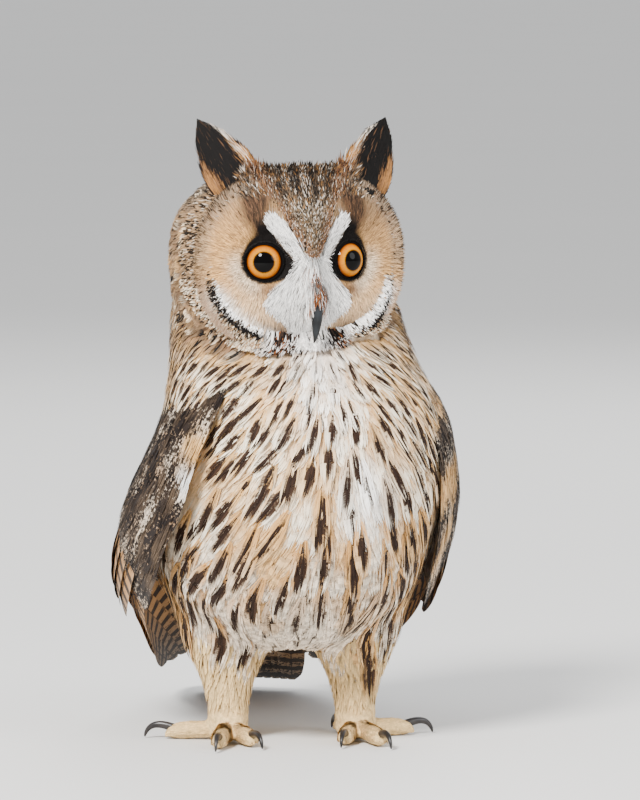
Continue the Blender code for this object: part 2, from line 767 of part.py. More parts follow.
def make_tufts(head):
    for word in SIDES:
        place = tuft_place(word)

        def core(across, along, place=place):
            width = 6.5 * (1 - 0.6 * along)
            return place(20.0 * along, (2 * across - 1) * width, 0 * along)

        tuft = sheet_solid("ear_tuft_" + word, 2, 3, core, 6.0, "tuft_black", parts)
        levels = TUFT_LEVEL * (np.arange(len(TUFT_VANES)) - 2.5)
        boolean(tuft, [tuft_vane(place, level, *vane) for level, vane in zip(levels, TUFT_VANES)], "UNION")
        tuft.data.transform(HEAD)
        boolean(tuft, [swollen(head, GAP)], "DIFFERENCE")


# Legs and feet


def make_legs(torso):
    for word, side in SIDES.items():
        x = FOOT_SIDE * side
        leg = tube(
            "leg_" + word,
            [(x, y, z) for z, y, r in LEG_SECTIONS],
            [r for z, y, r in LEG_SECTIONS],
            "leg_buff", parts, sides=2,
        )
        boolean(leg, [swollen(torso, GAP)], "DIFFERENCE")


def toe_path(word, side):
    """Points and radii of a toe from the middle of the foot, knuckled up and then down to the floor."""
    heading, length, radius = TOES[word]
    turn = math.radians(heading) * side
    ahead = np.array((math.sin(turn), -math.cos(turn), 0.0))
    start = np.array((FOOT_SIDE * side, FOOT_BACK, 0.0))
    shares = np.array((0.0, 0.4, 0.8, 0.94, 1.0))
    thick = radius * np.array((1.15, 1.02, 0.95, 0.7, 0.3))
    rise = thick * 0.86 + np.array((1.0, 0.6, 0.0, 0.1, 0.5))
    return start + ahead * (shares * length)[:, None] + np.array((0, 0, 1.0)) * rise[:, None], thick


def claw_path(word, side):
    """A claw from the toe's end, arching over and down so that its point just clears the floor."""
    heading, length, radius = TOES[word]
    turn = math.radians(heading) * side
    ahead = np.array((math.sin(turn), -math.cos(turn), 0.0))
    start = np.array((FOOT_SIDE * side, FOOT_BACK, 0.0)) + ahead * (length - 4.0)
    t = np.linspace(0, 1, 5)
    forward = CLAW_LENGTH * np.sin(t * 1.45) * 0.92
    height = radius * 1.15 + 2.2 * np.sin(t * math.pi) - (radius * 1.15 - 0.75) * t**2
    points = start + ahead * forward[:, None] + np.array((0, 0, 1.0)) * height[:, None]
    return points, CLAW_RADIUS * np.sqrt(1.0 - t * 0.97)


def make_feet():
    for word, side in SIDES.items():
        foot = sphere_shaped(
            "foot_" + word, 10, 6,
            lambda d, side=side: d * (9.0, 9.5, 4.6) + (FOOT_SIDE * side, FOOT_BACK, 4.4),
            "leg_buff", parts,
        )
        toes = [tube("toe_" + toe, *toe_path(toe, side), "leg_buff", parts, sides=1) for toe in TOES]
        boolean(foot, toes, "UNION")
        boolean(foot, [box("floor_" + word, (-200, -200, -60), (200, 300, 0))], "DIFFERENCE")
        bare = swollen(foot, GAP)
        boolean(bpy.data.objects["leg_" + word], [bare], "DIFFERENCE")
        for toe in TOES:
            claw = tube("claw_%s_%s" % (toe, word), *claw_path(toe, side), "claw_horn", parts, sides=1)
            boolean(claw, [swollen(foot, GAP)], "DIFFERENCE")


def centre_on_floor():
    """Moves every piece so that the middle of the whole bird's box is over the origin."""
    corners = np.array([(v.co[:]) for obj in parts.objects for v in obj.data.vertices])
    middle = (corners.min(0) + corners.max(0)) / 2
    for obj in parts.objects:
        obj.location = (-middle[0], -middle[1], 0.0)
        obj.data.shade_smooth()
        obj.data.set_sharp_from_angle(angle=math.radians(40))


rng = random.Random(7)
clear_scene()
parts = make_collection("long_eared_owl")
cutters = make_collection("cutters")
cutters.hide_render = True
torso, neck = make_body()
head = make_head(neck)
make_bill(head)
make_eyes(head)
tail = make_tail(torso)
make_wings(torso, neck, tail)
make_tufts(head)
make_legs(torso)
make_feet()
centre_on_floor()
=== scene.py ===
"""Long-eared owl, life size: skin, plumage, eyes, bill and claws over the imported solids.

Lengths are millimetres in the bird's own measures, whose tables repeat those of the part's source, and
`into_frame` turns them into the frame's metres. Every feather is a thin blade laid along a spine that follows
the surface of the plumage. The bird faces -Y and its left side is +X.
"""

import itertools
import math

import bmesh
import bpy
import numpy as np
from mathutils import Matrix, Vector


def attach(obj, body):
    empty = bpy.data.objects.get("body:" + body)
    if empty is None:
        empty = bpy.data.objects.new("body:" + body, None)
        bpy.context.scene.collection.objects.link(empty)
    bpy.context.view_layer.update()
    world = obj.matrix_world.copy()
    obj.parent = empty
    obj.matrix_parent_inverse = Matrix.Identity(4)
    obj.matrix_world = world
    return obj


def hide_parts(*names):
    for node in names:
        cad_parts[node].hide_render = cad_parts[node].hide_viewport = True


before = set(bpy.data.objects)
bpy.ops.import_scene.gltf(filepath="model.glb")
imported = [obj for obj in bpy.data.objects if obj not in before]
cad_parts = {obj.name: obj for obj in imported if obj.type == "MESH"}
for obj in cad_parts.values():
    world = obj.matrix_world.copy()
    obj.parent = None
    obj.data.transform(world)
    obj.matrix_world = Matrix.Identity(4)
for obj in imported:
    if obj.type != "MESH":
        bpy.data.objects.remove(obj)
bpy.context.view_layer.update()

rng = np.random.default_rng(11)

# Measures shared with the solids

HEAD_CENTRE = np.array((-5.0, -5.0, 205.0))
HEAD_TURN = math.radians(15.0)
HEAD_HALF_WIDTH, FACE_DEPTH, NAPE_DEPTH, CROWN_HEIGHT, CHIN_DEPTH = 47.0, 30.0, 44.0, 38.0, 42.0
HEAD_BOXINESS = 2.45
DISC_HALF_WIDTH, DISC_HALF_HEIGHT = 43.5, 35.0
RIM_RISE, DISH_DEPTH, SOCKET_DEPTH, RIDGE_RISE, RIDGE_HALF_WIDTH = 2.2, 2.0, 3.6, 4.0, 7.0

IRIS_SIDE, IRIS_FORWARD, IRIS_FROM_EYE_CENTRE = 19.0, 25.0, 8.0
EYE_RADIUS, CORNEA_RISE, EYE_SPLAY = 10.9, 1.7, math.radians(22.0)
EYE_OUT = np.array((math.sin(EYE_SPLAY), -math.cos(EYE_SPLAY), 0.0))
EYE_MIDDLE = np.array((IRIS_SIDE, -IRIS_FORWARD, 0.0)) - EYE_OUT * IRIS_FROM_EYE_CENTRE
LID_OUTER = 12.35
# Mound of bristles over the base of the bill: heights, and how far it stands out there.
BRISTLE_MOUND = ((-26, -20, -16.5, -14.5, -12, -7, 0), (0, 1.5, 4.5, 7.4, 6.8, 2.6, 0))

# Height, front, back, half width of the plumage.
BODY_SECTIONS = (
    (37.0, 24.0, 24.0, 0.0), (43.0, -15.0, 61.0, 33.0), (54.0, -35.0, 77.0, 46.0), (69.0, -47.0, 86.0, 55.5),
    (85.0, -54.0, 88.0, 60.5), (100.0, -58.0, 83.0, 62.5), (115.0, -59.0, 76.0, 62.0),
    (130.0, -58.0, 69.0, 60.0), (145.0, -53.0, 62.0, 57.0), (160.0, -42.0, 56.0, 52.5),
    (171.0, -30.0, 50.0, 50.0), (182.0, -14.0, 41.0, 48.0), (190.0, -2.0, 33.0, 42.0),
    (196.0, 14.0, 14.0, 0.0),
)
# Height, how far the body's middle stands to the bird's left there.
BODY_LEAN = ((37.0, 0.0), (85.0, 0.0), (115.0, 3.0), (145.0, 3.0), (160.0, 0.5), (171.0, -1.2), (196.0, -3.5))
# Height, back, radius of a leg; the feet stand at these places.
LEG_SECTIONS = ((9.5, 12, 8.6), (17, 12, 9.2), (26, 13, 11.8), (36, 14, 16.5), (48, 14, 21), (60, 14, 22))
FOOT_SIDE, FOOT_BACK = 27.0, 12.0
# Toe: heading in degrees from straight ahead towards the outside, length, radius.
TOES = {"inner": (-16, 29, 4.1), "middle": (13, 35, 4.2), "outer": (105, 27, 3.9), "hind": (-168, 21, 3.9)}
CLAW_LENGTH, CLAW_RADIUS = 14.0, 1.9

# Left wing: share of its length, leading edge, edge on the back; then how far it bows outward between them.
WING_EDGES = (
    (0.00, 34, -37, 153, 15, 44, 181), (0.10, 44, -43, 128, 20, 55, 163), (0.22, 52, -38, 100, 22, 63, 142),
    (0.36, 58, -18, 74, 22, 74, 116), (0.52, 58, 26, 52, 19, 90, 88), (0.70, 51, 76, 36, 14, 114, 62),
    (0.86, 42, 130, 22, 12, 144, 40), (1.00, 30, 182, 12, 14, 176, 21),
)
WING_BOW = {
    "left": (
        (0.0, 10), (0.05, 14), (0.1, 20), (0.22, 27), (0.36, 31), (0.52, 26), (0.7, 16), (0.86, 9), (1.0, 3),
    ),
    "right": (
        (0.0, 12), (0.05, 15), (0.1, 18), (0.22, 21), (0.36, 25.5), (0.52, 26), (0.7, 17), (0.86, 9),
        (1.0, 3),
    ),
}
# Share of the wing's length, then how far outward and back its leading edge is tucked there.
WING_TUCK = {
    "left": (
        (0.0, 12, 12), (0.1, 13, 16), (0.22, 7.5, 18), (0.36, 0, 14), (0.52, 0, 5), (0.7, 0, 0), (1.0, 0, 0),
    ),
    "right": ((0.0, 0, 0), (1.0, 0, 0)),
}
WING_OUTWARD = (0.93, 0.12, 0.34)
# Tips of the longest feathers, as (length, chord).
PRIMARY_TIPS = (
    (0.94, 0.03), (0.99, 0.26), (1.0, 0.52), (0.97, 0.72), (0.93, 0.83), (0.88, 0.90), (0.83, 0.95),
)
SIDES = {"left": 1.0, "right": -1.0}
# How far a wing stands further out, halfway along it.
WING_DROOP = {"left": 0.0, "right": 4.0}
# Tail: share of its length, back, height, half width.
TAIL_LINE = ((0.0, 60, 80, 13), (0.35, 100, 53, 18), (0.7, 144, 24, 23), (1.0, 184, 3.0, 26))
# Ear tufts, from the head's centre.
TUFT_BASE = {"left": (29.0, -17.0, 30.0), "right": (-26.0, -17.0, 30.0)}
TUFT_LEAN = {"left": (0.43, 0.40, 0.80), "right": (-0.39, 0.40, 0.80)}
TUFT_FACING = {"left": math.radians(-8.0), "right": math.radians(-19.0)}
TUFT_LENGTH, TUFT_SUNK, TUFT_HALF_WIDTH = 43.0, 8.0, 9.0


def linear(code):
    """A colour written as sRGB hex, as linear red, green and blue."""
    shares = np.array([int(code[i : i + 2], 16) for i in (1, 3, 5)]) / 255.0
    return np.where(shares <= 0.04045, shares / 12.92, ((shares + 0.055) / 1.055) ** 2.4)


def unit(vectors):
    return vectors / np.maximum(np.linalg.norm(vectors, axis=-1, keepdims=True), 1e-12)


def bell(distance, width):
    return np.exp(-((distance / width) ** 2))


def ease(value, start, end):
    """0 before start, 1 after end, and a smooth step between them."""
    t = np.clip((value - start) / (end - start), 0, 1)
    return t * t * (3 - 2 * t)


def mix(a, b, share):
    return a + (b - a) * np.asarray(share)[..., None]


def parted(points):
    """The x, y and z of points."""
    return points[..., 0], points[..., 1], points[..., 2]


def smooth(stations, at):
    """Values at the positions `at` on a smooth curve through stations, whose first column is the position."""
    table = np.array(stations, float)
    place, value = table[:, 0], table[:, 1:]
    slope = np.gradient(value, place, axis=0)
    at = np.clip(np.asarray(at, float), place[0], place[-1])
    k = np.clip(np.searchsorted(place, at) - 1, 0, len(place) - 2)
    step = place[k + 1] - place[k]
    t = ((at - place[k]) / step)[..., None]
    step = step[..., None]
    return (
        value[k] * (1 + 2 * t) * (1 - t) ** 2
        + slope[k] * step * t * (1 - t) ** 2
        + value[k + 1] * t * t * (3 - 2 * t)
        + slope[k + 1] * step * t * t * (t - 1)
    )


# Forms

CLIMB = np.radians(np.linspace(0, 180, 721))
BODY_LOW, BODY_HIGH = BODY_SECTIONS[0][0], BODY_SECTIONS[-1][0]
_angles = [math.degrees(math.acos(1 - 2 * (s[0] - BODY_LOW) / (BODY_HIGH - BODY_LOW))) for s in BODY_SECTIONS]
BODY_FRONT, BODY_BACK, BODY_HALF = smooth(
    [(a, *s[1:]) for a, s in zip(_angles, BODY_SECTIONS)], np.degrees(CLIMB)
).T
BODY_Z = BODY_LOW + (BODY_HIGH - BODY_LOW) * (1 - np.cos(CLIMB)) / 2


def body_point(climb, round_body):
    """Level ovals stacked from belly to neck: climb runs 0 to pi upward, round_body 0 to 2 pi from the left
    side through the back."""
    front, back, half, z = (np.interp(climb, CLIMB, t) for t in (BODY_FRONT, BODY_BACK, BODY_HALF, BODY_Z))
    x = half * np.cos(round_body) + smooth(BODY_LEAN, z)[..., 0]
    y = (front + back) / 2 + (back - front) / 2 * np.sin(round_body)
    return np.stack([x, y, z], -1)


_turn = np.array((
    (math.cos(HEAD_TURN), -math.sin(HEAD_TURN), 0), (math.sin(HEAD_TURN), math.cos(HEAD_TURN), 0), (0, 0, 1),
))


def from_head(points):
    return HEAD_CENTRE + points @ _turn.T


def to_head(points):
    return (points - HEAD_CENTRE) @ _turn


def disc_share(x, z):
    """0 at the middle of the face and 1 on the rim of the facial disc."""
    return ((np.abs(x) / DISC_HALF_WIDTH) ** 2.4 + (np.abs(z) / DISC_HALF_HEIGHT) ** 2.4) ** (1 / 2.4)


def face_lift(x, z):
    """How far the rim and the ridge between the eyes stand out, less the dishes round the eyes."""
    x = np.abs(x)
    rim = RIM_RISE * bell(disc_share(x, z) - 1.0, 0.09)
    dish = DISH_DEPTH * bell(np.hypot((x - 30.0) / 11.0, (z + 1.0) / 20.0), 1.0)
    dish = dish + SOCKET_DEPTH * bell(np.hypot((x - IRIS_SIDE - 1.5) / 9.5, z / 11.0), 1.0)
    return rim + RIDGE_RISE * bell(x, RIDGE_HALF_WIDTH) * bell(z - 4.0, 24.0) - dish


def relief(x, y, z):
    """The face's lift: in full from 12 mm ahead of the head's centre, none behind it."""
    return face_lift(x, z) * np.clip(-y / 12.0, 0, 1)


def bare_norm(x, y, z):
    """1 on the head without the face's relief, less inside: a boxy ellipsoid of unlike halves."""
    return (
        (np.abs(x) / HEAD_HALF_WIDTH) ** HEAD_BOXINESS
        + (np.abs(y) / np.where(y < 0, FACE_DEPTH, NAPE_DEPTH)) ** HEAD_BOXINESS
        + (np.abs(z) / np.where(z > 0, CROWN_HEIGHT, CHIN_DEPTH)) ** HEAD_BOXINESS
    ) ** (1 / HEAD_BOXINESS)


def head_norm(points):
    """The same with the relief, which is undone first."""
    x, y, z = parted(points)
    return bare_norm(x, y + relief(x, y, z), z)


def head_point(turn, tilt):
    """Point of the head, in its own measures: turn runs round the face's axis from the left side up, tilt out
    from that axis, both in degrees."""
    turn, tilt = np.broadcast_arrays(np.radians(turn), np.radians(tilt))
    ways = np.stack([np.sin(tilt) * np.cos(turn), -np.cos(tilt), np.sin(tilt) * np.sin(turn)], -1)
    points = ways / bare_norm(*parted(ways))[..., None]
    points[..., 1] -= relief(*parted(points))
    return points


def face_y(x, z):
    """Depth of the face's plumage under a place of the face, with the mound of bristles over the base of the
    bill, and the lids' bulge where it stands higher."""
    inside = 1 - (np.abs(x) / HEAD_HALF_WIDTH) ** HEAD_BOXINESS
    inside = inside - (np.abs(z) / np.where(z > 0, CROWN_HEIGHT, CHIN_DEPTH)) ** HEAD_BOXINESS
    bare = -FACE_DEPTH * np.clip(inside, 0.02, 1) ** (1 / HEAD_BOXINESS)
    face = bare - relief(x, bare, z)
    face = face - bell(x, 4.6) * np.interp(z, *BRISTLE_MOUND)
    lid = EYE_MIDDLE[1] - np.sqrt(np.clip(LID_OUTER**2 - (np.abs(x) - EYE_MIDDLE[0]) ** 2 - z**2, 0, None))
    return np.minimum(face, lid)


# The plumage surface of head, body and legs as distances on a grid, so that feathers can be laid on it.
GRID_LOW, GRID_STEP, GRID_SIZE = np.array((-78.0, -76.0, -2.0)), 2.0, (79, 92, 130)


def blend_low(a, b, width):
    """The lower of two distances, rounded where they are alike."""
    h = np.clip(0.5 + 0.5 * (b - a) / width, 0, 1)
    return b + (a - b) * h - width * h * (1 - h)


def steady(value):
    """A measure divided by its slope, which makes it millimetres near the surface."""
    slope = np.sqrt(sum(g**2 for g in np.gradient(value, GRID_STEP)))
    return np.clip(value / np.maximum(slope, 1e-6), -30, 30)


def plumage_field():
    axes = [low + GRID_STEP * np.arange(count) for low, count in zip(GRID_LOW, GRID_SIZE)]
    grid = np.stack(np.meshgrid(*axes, indexing="ij"), -1)
    x, y, z = parted(grid)
    x = x - smooth(BODY_LEAN, z)[..., 0]
    square = np.interp(z, BODY_Z, BODY_HALF**2)
    for end, near, sign in ((0, 6, -1), (-1, -7, 1)):
        slope = (BODY_HALF[near] ** 2 - BODY_HALF[end] ** 2) / (BODY_Z[near] - BODY_Z[end])
        past = sign * (z - BODY_Z[end]) > 0
        square = np.where(past, slope * (z - BODY_Z[end]), square)
    middle = np.interp(z, BODY_Z, (BODY_FRONT + BODY_BACK) / 2)
    ratio = np.interp(z, BODY_Z[20:-20], (2 * BODY_HALF / np.maximum(BODY_BACK - BODY_FRONT, 1e-6))[20:-20])
    body = steady(x**2 + ((y - middle) * ratio) ** 2 - square)
    head = steady(head_norm(to_head(grid)) - 1)
    table = np.array(LEG_SECTIONS, float)
    leg_y, leg_r = (np.interp(z, table[:, 0], table[:, k]) for k in (1, 2))
    leg = np.hypot(np.abs(grid[..., 0]) - FOOT_SIDE, y - leg_y) - leg_r
    leg = np.maximum(leg, np.maximum(4.0 - z, z - 62.0))
    whole = blend_low(blend_low(body, head, 8.0), leg, 5.0)
    slopes = unit(np.stack(np.gradient(whole, GRID_STEP), -1))
    return np.concatenate([whole[..., None], slopes], -1)


FIELD = plumage_field()


def sample(points):
    """Distance from the plumage surface and the way out of it, blended between the grid's corners."""
    at = np.clip((points - GRID_LOW) / GRID_STEP, 0, np.array(GRID_SIZE) - 1.001)
    cell = at.astype(int)
    part = at - cell
    value = 0.0
    for corner in itertools.product((0, 1), repeat=3):
        weight = np.prod(np.where(corner, part, 1 - part), axis=-1)
        value = value + FIELD[tuple((cell + corner)[..., k] for k in range(3))] * weight[..., None]
    return value[..., 0], unit(value[..., 1:])


def settle(points, height=0.0):
    """Moves points straight out or in until they stand at this height over the plumage surface."""
    for _ in range(3):
        distance, out = sample(points)
        points = points - out * (distance - height)[..., None]
    return points


def wing_surface(length, chord, word):
    """A wing as a left one: straight across from the leading edge (chord 0) to the back edge (chord 1), bowed
    outward."""
    edges = smooth(WING_EDGES, length)
    lead, back = edges[..., :3], edges[..., 3:]
    lead[..., :2] += smooth(WING_TUCK[word], length)
    arch = 4 * chord * (1 - chord)
    outward = unit(np.array(WING_OUTWARD))
    bow = outward * smooth(WING_BOW[word], length)
    return lead + (back - lead) * chord[..., None] + bow * arch[..., None]


def wing_axes(length, chord, word):
    """Outward normal and the way across, from the surface's slopes."""
    step = 0.01
    inside = np.clip(length, 0.02, 0.98)
    along = wing_surface(inside + step, chord, word) - wing_surface(inside - step, chord, word)
    across = wing_surface(inside, chord + step, word) - wing_surface(inside, chord - step, word)
    return unit(np.cross(along, across)), across / (2 * step)


def tail_point(length, share, lift):
    """Tail: its centre line, spread sideways by share (-1 to 1) and arched a little across."""
    back, height, half = np.moveaxis(smooth(TAIL_LINE, length), -1, 0)
    droop = 2.4 * share**2 * np.clip(length * 2, 0, 1) * np.clip(1.25 - length, 0.25, 1)
    return np.stack([half * share, back, height - droop + lift], -1)


# Into the frame


def frame_shift():
    """The pole of the left eye's cornea is known in both measures and tells where the bird's axis stands."""
    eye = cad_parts["eye_left"]
    points = np.array([v.co[:] for v in eye.data.vertices])
    out = _turn @ EYE_OUT
    pole = points[np.argmax(points @ out)]
    return pole - from_head(EYE_MIDDLE + EYE_OUT * (EYE_RADIUS + CORNEA_RISE)) * 0.001


SHIFT = frame_shift()


def into_frame(points):
    return points * 0.001 + SHIFT


def add_object(name, data):
    obj = bpy.data.objects.new(name, data)
    bpy.context.scene.collection.objects.link(obj)
    return obj


def new_mesh(name, points, faces, finish, replaces=(), colours=None, maps=None, bake=None):
    """A mesh from millimetre points and faces of one size, with its colour layers and its maps. The first map
    that is made stays the one in use, so the bake map, which nothing reads, comes last."""
    points, faces = np.asarray(points, np.float64).reshape(-1, 3), np.asarray(faces, np.int32)
    mesh = bpy.data.meshes.new(name)
    mesh.vertices.add(len(points))
    mesh.vertices.foreach_set("co", into_frame(points).astype(np.float32).ravel())
    mesh.loops.add(faces.size)
    mesh.loops.foreach_set("vertex_index", faces.ravel())
    mesh.polygons.add(len(faces))
    mesh.polygons.foreach_set("loop_start", np.arange(0, faces.size, faces.shape[1], dtype=np.int32))
    mesh.update(calc_edges=True)
    mesh.shade_smooth()
    for layer, values in (*(maps or {}).items(), ("OFBake", bake)):
        if values is not None:
            values = values.reshape(-1, 2)[faces.ravel()]
            mesh.uv_layers.new(name=layer).data.foreach_set("uv", values.astype(np.float32).ravel())
    for layer, values in (colours or {}).items():
        values = values.reshape(-1, values.shape[-1])
        if values.shape[1] == 3:
            values = np.concatenate([values, np.ones((len(values), 1))], 1)
        made = mesh.color_attributes.new(name=layer, type="FLOAT_COLOR", domain="POINT")
        made.data.foreach_set("color", values.astype(np.float32).ravel())
    mesh.validate()
    mesh.materials.append(finish)
    obj = add_object(name, mesh)
    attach(obj, "root")
    if replaces:
        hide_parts(*replaces)
    return obj


# Finishes

PUPIL_SHARE, IRIS_SHARE = 0.385, 0.66
# Share of the eye's radius from the pupil's centre, and the colour there.
IRIS_RINGS = (
    (0.0, "#000000"), (PUPIL_SHARE, "#010000"), (PUPIL_SHARE + 0.02, "#4A2400"),
    (PUPIL_SHARE + 0.06, "#B47400"), (0.5, "#BE7800"), (IRIS_SHARE - 0.08, "#B06200"),
    (IRIS_SHARE - 0.02, "#703200"), (IRIS_SHARE + 0.01, "#0E0602"), (1.0, "#030202"),
)
# How far each pupil is turned towards the bill, as the bird looks to its right at the viewer.
PUPIL_INWARD = {"left": 2.4, "right": 0.0}


def add(tree, kind, inputs=None, **settings):
    """Adds a node with its settings, and feeds each named or numbered input with a value or an output."""
    node = tree.nodes.new("ShaderNode" + kind)
    for name, value in settings.items():
        setattr(node, name, value)
    for name, value in (inputs or {}).items():
        socket = node.inputs[name]
        if isinstance(value, bpy.types.NodeSocket):
            tree.links.new(value, socket)
        else:
            socket.default_value = value
    return node


def sum_of(tree, operation, *values):
    """Output of a Math node over these values."""
    return add(tree, "Math", dict(enumerate(values)), operation=operation).outputs[0]


def step_of(tree, value, low, high):
    """A smooth step from 0 at low to 1 at high."""
    inputs = {"Value": value, 1: low, 2: high}
    return add(tree, "MapRange", inputs, interpolation_type="SMOOTHSTEP").outputs[0]


def noise(tree, place, scale, detail, roughness=0.5):
    inputs = {"Vector": place, "Scale": scale, "Detail": detail, "Roughness": roughness}
    return add(tree, "TexNoise", inputs).outputs["Fac"]


def mixed(tree, share, one, other):
    return add(tree, "Mix", {0: share, 6: one, 7: other}, data_type="RGBA").outputs[2]


def in_metres(tree):
    return add(tree, "TexCoord").outputs["Object"]


def finish_named(name, **constant):
    """A Principled finish with these constant sockets; gives its material, tree and shader."""
    made = bpy.data.materials.new(name)
    made.use_nodes = True
    shader = made.node_tree.nodes["Principled BSDF"]
    for socket, value in constant.items():
        shader.inputs[socket.replace("_", " ")].default_value = value
    return made, made.node_tree, shader


def shade_and_bump(tree, shader, colour, height, strength, low, high, bump, depth):
    """Lightens and darkens the colour with the grain, and raises the same grain as relief."""
    shade = add(tree, "MapRange", {"Value": height, 1: low, 2: high, 3: 1 - strength, 4: 1 + strength})
    final = add(tree, "VectorMath", {0: colour, 3: shade.outputs[0]}, operation="SCALE")
    tree.links.new(final.outputs[0], shader.inputs["Base Color"])
    relief = add(tree, "Bump", {"Height": height, "Strength": bump, "Distance": depth})
    tree.links.new(relief.outputs[0], shader.inputs["Normal"])


def vane_finish(name, fibre_mm, mottle_mm, strength, **constant):
    """Contour and flight feathers: keratin barbs hooked into a vane, matt with a faint silky sheen. Colour
    comes from the vane's own layers: ground tone, ink, and marks (streak, bar phase, bar strength, and how
    much of the ground the peppering covers). The marks fray along the barbs, fibre_mm apart, wider than
    real ones so that they show; the peppering is about mottle_mm across."""
    made, tree, shader = finish_named(name, **constant)
    tone, ink, marks = (add(tree, "Attribute", attribute_name=layer) for layer in ("tone", "ink", "marks"))
    streak_edge, bar_phase, bar_strength = add(tree, "SeparateXYZ", {0: marks.outputs["Vector"]}).outputs
    barb = add(tree, "UVMap", uv_map="barb")
    scale = (1.0 / fibre_mm, 0.12 / fibre_mm, 1.0)
    stretch = add(tree, "Mapping", {"Vector": barb.outputs["UV"], "Scale": scale})
    fibre = noise(tree, stretch.outputs[0], 1.0, 2.0, 0.6)
    pepper = noise(tree, in_metres(tree), 1000.0 / mottle_mm, 3.0, 0.62)
    streak = step_of(tree, sum_of(tree, "MULTIPLY_ADD", fibre, 0.55, streak_edge), 0.13, 0.45)
    wave = sum_of(tree, "PINGPONG", sum_of(tree, "MULTIPLY_ADD", fibre, 0.22, bar_phase), 1.0)
    bars = sum_of(tree, "MULTIPLY", step_of(tree, wave, 0.50, 0.62), bar_strength)
    spots = step_of(tree, sum_of(tree, "MULTIPLY_ADD", marks.outputs["Alpha"], 0.5, pepper), 0.71, 0.78)
    most = sum_of(tree, "MAXIMUM", sum_of(tree, "MAXIMUM", streak, bars), spots)
    colour = mixed(tree, most, tone.outputs["Color"], ink.outputs["Color"])
    shade_and_bump(tree, shader, colour, fibre, strength, 0.25, 0.75, 0.4, 0.0003)
    return made


def tuft_finish(name, grain_mm, strength, **constant):
    """Hair-like face and leg plumage: loose barbs with no vane, in each tuft's own finely grained colour."""
    made, tree, shader = finish_named(name, **constant)
    tone = add(tree, "Attribute", attribute_name="tone")
    grain = noise(tree, in_metres(tree), 1000.0 / grain_mm, 2.0)
    shade_and_bump(tree, shader, tone.outputs["Color"], grain, strength, 0.3, 0.7, 0.3, 0.0003)
    return made


def iris_finish():
    """Owl's eye: a clear wet cornea over an orange iris and a black pupil. The map's first share is the
    distance from the pupil's centre in units of the eye's radius, its second the turn round it."""
    constant = {"Roughness": 0.06, "Coat_Weight": 0.12, "Coat_Roughness": 0.02, "Specular_IOR_Level": 0.05}
    made, tree, shader = finish_named("eye_wet_cornea", **constant)
    place = add(tree, "UVMap", uv_map="iris")
    part = add(tree, "SeparateXYZ", {0: place.outputs["UV"]})
    spokes = add(tree, "Mapping", {"Vector": place.outputs["UV"], "Scale": (5.0, 60.0, 1.0)})
    fibres = noise(tree, spokes.outputs[0], 1.0, 3.0, 0.6)
    ring = add(tree, "ValToRGB", {"Fac": sum_of(tree, "MULTIPLY_ADD", fibres, 0.03, part.outputs[0])})
    stops = ring.color_ramp.elements
    while len(stops) < len(IRIS_RINGS):
        stops.new(0.5)
    for stop, (at, code) in zip(stops, IRIS_RINGS):
        stop.position = at
        stop.color = (*linear(code), 1.0)
    shade = add(tree, "MapRange", {"Value": fibres, 1: 0.3, 2: 0.7, 3: 0.84, 4: 1.12})
    final = add(tree, "VectorMath", {0: ring.outputs["Color"], 3: shade.outputs[0]}, operation="SCALE")
    tree.links.new(final.outputs[0], shader.inputs["Base Color"])
    return made


def horn_finish(name, dark, pale, rough, specular=0.4):
    """Keratin of bill and claws: smooth, worn in fine lengthways scratches, paler where it is thin."""
    made, tree, shader = finish_named(name, Roughness=rough, Specular_IOR_Level=specular)
    where = in_metres(tree)
    ramp = add(tree, "MapRange", {"Value": noise(tree, where, 160.0, 2.0), 1: 0.35, 2: 0.7})
    colour = mixed(tree, ramp.outputs[0], (*linear(dark), 1), (*linear(pale), 1))
    shade_and_bump(tree, shader, colour, noise(tree, where, 900.0, 4.0, 0.6), 0.08, 0.3, 0.7, 0.2, 0.0002)
    return made


body_vane = vane_finish("breast_feather_keratin", 0.5, 0.9, 0.16, Roughness=0.8, Specular_IOR_Level=0.25)
wing_vane = vane_finish("wing_feather_keratin", 0.45, 1.5, 0.16, Roughness=0.7, Specular_IOR_Level=0.3)
face_tuft = tuft_finish("face_tuft_keratin", 0.8, 0.12, Roughness=0.8, Specular_IOR_Level=0.2)
skin_down = tuft_finish("skin_under_down", 1.4, 0.25, Roughness=0.9)
lid_skin = horn_finish("lid_bare_black_skin", "#020101", "#060403", 0.9, 0.1)
bill_horn = horn_finish("bill_slate_horn", "#0C0E10", "#23272B", 0.5, 0.25)
claw_horn = horn_finish("claw_black_horn", "#141213", "#35302E", 0.3)
eye_wet = iris_finish()

# Plans of feathers: each point has its share of the length u, its place across as a share of the half width
# s, its own height h, and the place q that its colour is taken from.

WOVEN_OUTLINE = ((0.0, 0.25), (0.2, 0.7), (0.5, 1.0), (0.8, 0.93), (1.0, 0.55))
FLIGHT_OUTLINE = ((0.0, 0.4), (0.33, 0.88), (0.67, 1.0), (0.85, 0.86), (0.95, 0.6), (1.0, 0.2))
COVERT_OUTLINE = ((0.0, 0.45), (0.3, 0.85), (0.65, 1.0), (0.88, 0.86), (1.0, 0.5))
LOOSE_OUTLINE = ((0.0, 0.35), (0.3, 0.85), (0.6, 1.0), (0.85, 0.85), (1.0, 0.55))


def spikes(base_a, base_b, tip):
    """One triangle for each barb of a fringe."""
    points = np.stack([base_a, base_b, tip], 1).reshape(-1, 2)
    return points, np.arange(len(points)).reshape(-1, 3)


